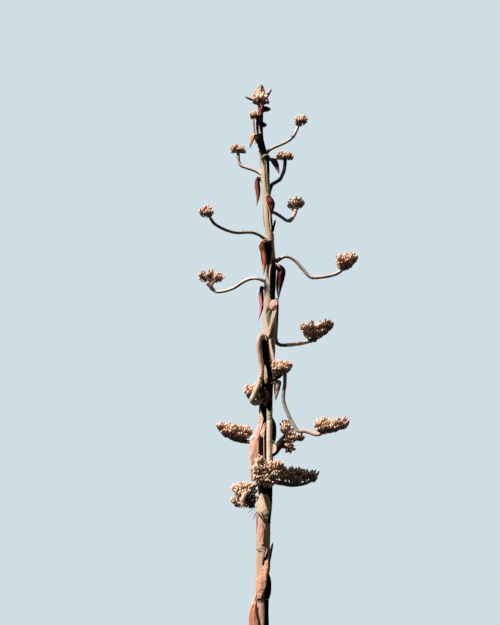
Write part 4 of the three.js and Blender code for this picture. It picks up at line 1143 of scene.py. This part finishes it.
def crown(buds, twigs):
    """Round the stalk's apex: a ring of clusters, larger buds inside it and the young ones in front."""
    random = np.random.default_rng(CROWN_SEED)
    middle = np.array([stalk_x(CROWN_HEIGHT), 0, CROWN_HEIGHT])
    taken.extend((np.array([x, y - 6, z]), size * 1.35) for x, y, z, size, _ in CROWN_KNOBS)
    clusters = []
    for i in range(CROWN_CLUSTERS):
        out, _ = turned(i * 360 / CROWN_CLUSTERS)
        centre = middle + out * 35 + UP * (20 + (i % 2) * 16)
        clusters.append((centre, 21))
        twig(twigs, middle + out * 14 - UP * 10, centre - UP * 10, 6, 4.5, kind=KEEL)
        small_scale(twigs, middle + out * 22, unit(out + UP * 0.5), unit(UP - out * 0.5), 26, 12, KEEL)
    for i, (centre, size) in enumerate(clusters):
        cluster(buds, twigs, centre, size, middle, 0.5, all_but(clusters, i), "peach", random)
    bearings = np.arange(CROWN_BUDS) * 360 / CROWN_BUDS + 8
    ways = np.array([turned(bearing)[0] for bearing in bearings])
    lift = (np.arange(CROWN_BUDS) % 2)[:, None] * 9.0
    kinds = np.tile([tint_kind["peach"], tint_kind["apricot"], tint_kind["tip"]], (CROWN_BUDS, 1))
    add_buds(buds, middle + ways * 16 + UP * (22 + lift), middle + ways * 36 + UP * (64 + lift),
             random.uniform(9.5, 12.0, CROWN_BUDS), 0 * bearings, kinds)
    for x, y, z, size, tint in CROWN_KNOBS:
        ball(buds, np.array([x, y, z]), (size, size, size * 1.15), tint_kind[tint], 8, 10)


# A head goes with the upper or the middle buds where its branch's tip is above these heights.
UPPER_HEADS, MIDDLE_HEADS = 3500, 2640


def heads_and_limbs():
    """Every branch with its head. The buds are joined in groups of heads."""
    curves = {}
    for i, branch in enumerate(BRANCHES):
        curves[branch["name"]] = branch_piece(branch, LIMB_SEED + i)
    for branch in BRANCHES:
        taken.extend((place, branch["radius"] + 1) for place in curves[branch["name"]][:-3:6])
    twigs = Shell()
    buds = {"upper": Shell(), "middle": Shell(), "lower": Shell()}
    nodes = {name: [] for name in buds}
    for i, branch in enumerate(BRANCHES):
        curve = curves[branch["name"]]
        height = curve[-1][2]
        group = "upper" if height > UPPER_HEADS else "middle" if height > MIDDLE_HEADS else "lower"
        head(branch, curve, HEAD_SEED + i, buds[group], twigs)
        nodes[group].append(f"head_{branch['name']}")
    crown(buds["upper"], twigs)
    nodes["upper"].append("head_crown")
    for group, shell in buds.items():
        shell.piece(f"buds_{group}", bud_skins, "buds", nodes[group])
    every_head = [node for group in nodes.values() for node in group]
    twigs.piece("branchlets", branchlet_skins, "branch", every_head)


def bracts():
    """The dry parts: clasping sheaths, short bracts near the top, the spear at the apex, sheets and
    ridges on the skin, the black ones mostly painted shade, and the bracts that hang under the branches."""
    sheaths = Shell()
    for i, row in enumerate(SHEATHS):
        sheath(sheaths, *row, SHEATH_SEED + i)
    sheaths.piece("stalk_sheaths", [sheath_skin], "stalk")
    stubs = Shell()
    for i, (foot, bearing, out, up, half_width, pale) in enumerate(STUBS):
        curve = route_from(foot, bearing, [(out * 0.55, up * 0.35), (out, up)], 4)
        blade(stubs, curve, bearing, half_width * 2.2, thickness=3.5, root=0.8, widest=0.5, cup=0.5,
              turn=-0.9 * pale, twist=0.4, seed=STUB_SEED + i, rows=18, columns=9, wave=1.5, kind=pale)
    stubs.piece("stalk_stubs", [PLATE_SKINS[BLACK_AND_SHADE], PLATE_SKINS[PINK]], "bract")
    spear = Shell()
    for i in range(6):
        layer = i % 3
        foot, length = SPEAR_FOOT + 6 * layer, 84 - 9 * layer
        sheath(spear, foot, i * 60 + 20, length, 46, 2, SPEAR_SEED + i, cling=2.5, lift=3)
    spear.piece("stalk_spear", [dry_skin], "stalk")
    sheets_and_shade = Shell()
    # Sheets and ridges on the stalk; the black ones are mostly painted shade.
    for turned_to in (FRONT, BACK):
        for i, (kind, rows) in enumerate(PLATES):
            plate(sheets_and_shade, rows, kind, PLATE_SEED + i, *turned_to)
        for kind, radius, stops in RIDGES:
            ridge(sheets_and_shade, stops, radius, kind, *turned_to)
    sheets_and_shade.piece("stalk_sheets", PLATE_SKINS, "stalk")
    for i, (foot, bearing, width, turn, twist, shade_split, look, route) in enumerate(HANGING):
        curve = route_from(foot, bearing, route, float(stalk_radius(foot)) - 4)
        shell = Shell()
        blade(shell, curve, bearing, width, thickness=2.6, root=0.85, widest=0.36, cup=-0.6, turn=turn,
              twist=twist, seed=HANGING_SEED + i, rows=46, columns=15, wave=3.0, shade_split=shade_split)
        shell.piece(f"dry_bract_{i + 1}", [DRIED[look], PLATE_SKINS[BLACK_AND_SHADE]], "bract", [f"bract_{i + 1}"])


def thorn(shell, place, way, out, height, width):
    """A hooked tooth on a leaf's edge."""
    t = np.linspace(0, 1, 4)[:, None]
    places = place + out * height * t - way * height * 0.35 * t**2
    side = unit(np.cross(way, out))
    angles = np.linspace(0, 2 * math.pi, 5, endpoint=False)
    spokes = way * np.cos(angles)[:, None] + side * np.sin(angles)[:, None] * 0.5
    reach = width / 2 * np.array([1.0, 0.62, 0.34, 0.06])
    shell.loft(places[:, None] + spokes[None] * reach[:, None, None])


LEAF_BENDS = [(0, 0), (0.35, 0), (0.7, 0.03), (1, 0.08)]  # share of the length, and how much steeper
CHANNEL = 0.30  # how deep a leaf is hollowed, as a share of its half width
LEAF_SOLID = 0.955  # the share of a leaf's length where its spine takes over


def leaf(shell, horns, foot, bearing, rise, length, width, seed):
    """A thick channelled leaf with its teeth and the spine at its tip."""
    rows, columns = 44, 13
    slope = math.radians(rise)
    start = float(stalk_radius(foot)) - 12
    route = [(start + length * part * math.cos(slope + more), length * part * math.sin(slope + more))
             for part, more in LEAF_BENDS]
    curve = catmull([place_from(foot, bearing, out, up) for out, up in route])
    places, ways, _ = even(curve, rows)
    _, across = turned(bearing)
    across = np.broadcast_to(across, ways.shape)
    lower = np.cross(across, ways)
    t = np.linspace(0, 1, rows)
    half = width / 2 * outline(t, 0.62, 0.6, 0.9) + 1.6
    deep = LEAF_THICKNESS / 2 * (1 - 0.72 * t**0.8)
    s = np.linspace(-1, 1, columns)
    around = np.broadcast_to((s + 1) / 2, (rows, columns))
    along = np.broadcast_to(t[:, None], (rows, columns))
    mark = 1.1 * ripple(seed, 6, 4, around, along) + 0.5 * ripple(seed + 1, 22, 8, around, along)
    cup = CHANNEL * half[:, None] * s**2
    body = deep[:, None] * np.sqrt(np.clip(1 - s**2, 0, 1))
    under = body * 1.15 - cup + mark * 0.6
    over = -body * 0.75 - cup + mark
    wide = s * half[:, None]
    face = places[:, None] + across[:, None] * wide[..., None] + lower[:, None] * under[..., None]
    top = places[:, None] + across[:, None] * wide[..., None] + lower[:, None] * over[..., None]
    keep = int(rows * LEAF_SOLID)
    rings = np.concatenate([face, top[:, ::-1][:, 1:-1]], 1)[:keep]
    shell.loft(rings)
    tip = np.linspace(places[keep - 3], places[-1] - ways[-1] * 3, 8)
    tube(horns, tip, np.linspace(half[keep - 3] * 0.62, 0.5, 8), 8)
    random = np.random.default_rng(seed)
    for side in (-1, 1):
        at = 0.10
        while at < 0.90:
            i = int(at * (rows - 1))
            out = across[i] * side
            edge = places[i] + out * half[i] - lower[i] * CHANNEL * half[i]
            thorn(horns, edge - out * 1.5, ways[i], out, random.uniform(5, 8), 8)
            at += random.uniform(0.036, 0.054)


def rosette():
    """The rosette, one piece a tier, with all its teeth and spines in one piece."""
    horns = Shell()
    for tier, (foot, rise, count, length, width) in enumerate(ROSETTE):
        shell = Shell()
        for i in range(count):
            bearing = (i + (tier % 2) / 2) / count * 360
            number = tier * LEAF_SEEDS_PER_TIER + i
            wide = width * np.random.default_rng(LEAF_WIDTH_SEED + number).uniform(0.94, 1.0)
            leaf(shell, horns, foot, bearing, rise, length, wide, LEAF_SEED + number)
        shell.piece(f"rosette_leaves_{tier + 1}", [leaf_skin], "leaf", [f"rosette_{tier + 1}"])
    horns.piece("rosette_spines", [horn], "leaf")


SKY = (0.63, 0.73, 0.79)
FILL, FILL_STRENGTH = (0.78, 0.76, 0.74), 0.11
FLOOR_HALF = 12.0  # metres
CAMERA_PITCH = 12.68
LENS, SENSOR_WIDTH = 80, 36


def set_camera():
    """The photograph's view: a long lens at head height that looks up the stalk."""
    data = bpy.data.cameras.new("view")
    data.lens = LENS
    data.sensor_width = SENSOR_WIDTH
    camera = bpy.data.objects.new("view", data)
    camera.location = (EYE[0] * MM, -EYE[1] * MM, EYE[2] * MM)
    camera.rotation_euler = (math.radians(90 + CAMERA_PITCH), 0, 0)
    bpy.context.scene.collection.objects.link(camera)
    bpy.context.scene.camera = camera


def add_sun(name, bearing, height, energy, spread, colour):
    """Light from far away, from a bearing and a height in degrees."""
    data = bpy.data.lights.new(name, "SUN")
    data.energy = energy
    data.angle = math.radians(spread)
    data.color = colour
    lamp = bpy.data.objects.new(name, data)
    lamp.rotation_euler = (math.radians(90 - height), 0, math.radians(bearing + 90))
    bpy.context.scene.collection.objects.link(lamp)


def set_light():
    """A warm key light from the left, a soft one from behind, a pale backdrop and a dim fill."""
    add_sun("key", bearing=207, height=48, energy=7.6, spread=3.0, colour=(1.0, 0.93, 0.85))
    add_sun("behind", bearing=85, height=14, energy=1.3, spread=40.0, colour=(0.95, 0.97, 1.0))
    world = bpy.data.worlds.new("studio")
    world.use_nodes = True
    tree = world.node_tree
    seen = tree.nodes["Background"]
    seen.inputs["Color"].default_value = opaque(SKY)
    fill = add_node(tree, "ShaderNodeBackground", {"Color": opaque(FILL), "Strength": FILL_STRENGTH})
    path = add_node(tree, "ShaderNodeLightPath")
    mix = add_node(tree, "ShaderNodeMixShader", {"Fac": path.outputs["Is Camera Ray"]})
    tree.links.new(fill.outputs[0], mix.inputs[1])
    tree.links.new(seen.outputs[0], mix.inputs[2])
    tree.links.new(mix.outputs[0], tree.nodes["World Output"].inputs["Surface"])
    bpy.context.scene.world = world
    bpy.context.scene.view_settings.view_transform = "Standard"


def set_floor():
    """A plain pale floor."""
    mesh = bpy.data.meshes.new("floor")
    corners = [(x * FLOOR_HALF, y * FLOOR_HALF, 0) for x, y in ((-1, -1), (1, -1), (1, 1), (-1, 1))]
    mesh.from_pydata(corners, [], [(0, 1, 2, 3)])
    mesh.materials.append(plain("floor_pale", (0.62, 0.66, 0.69), 0.9))
    floor = bpy.data.objects.new("floor", mesh)
    floor.visible_diffuse = False
    floor.visible_glossy = False
    bpy.context.scene.collection.objects.link(floor)


set_camera()
set_light()
set_floor()
stalk_piece()
bracts()
heads_and_limbs()
rosette()
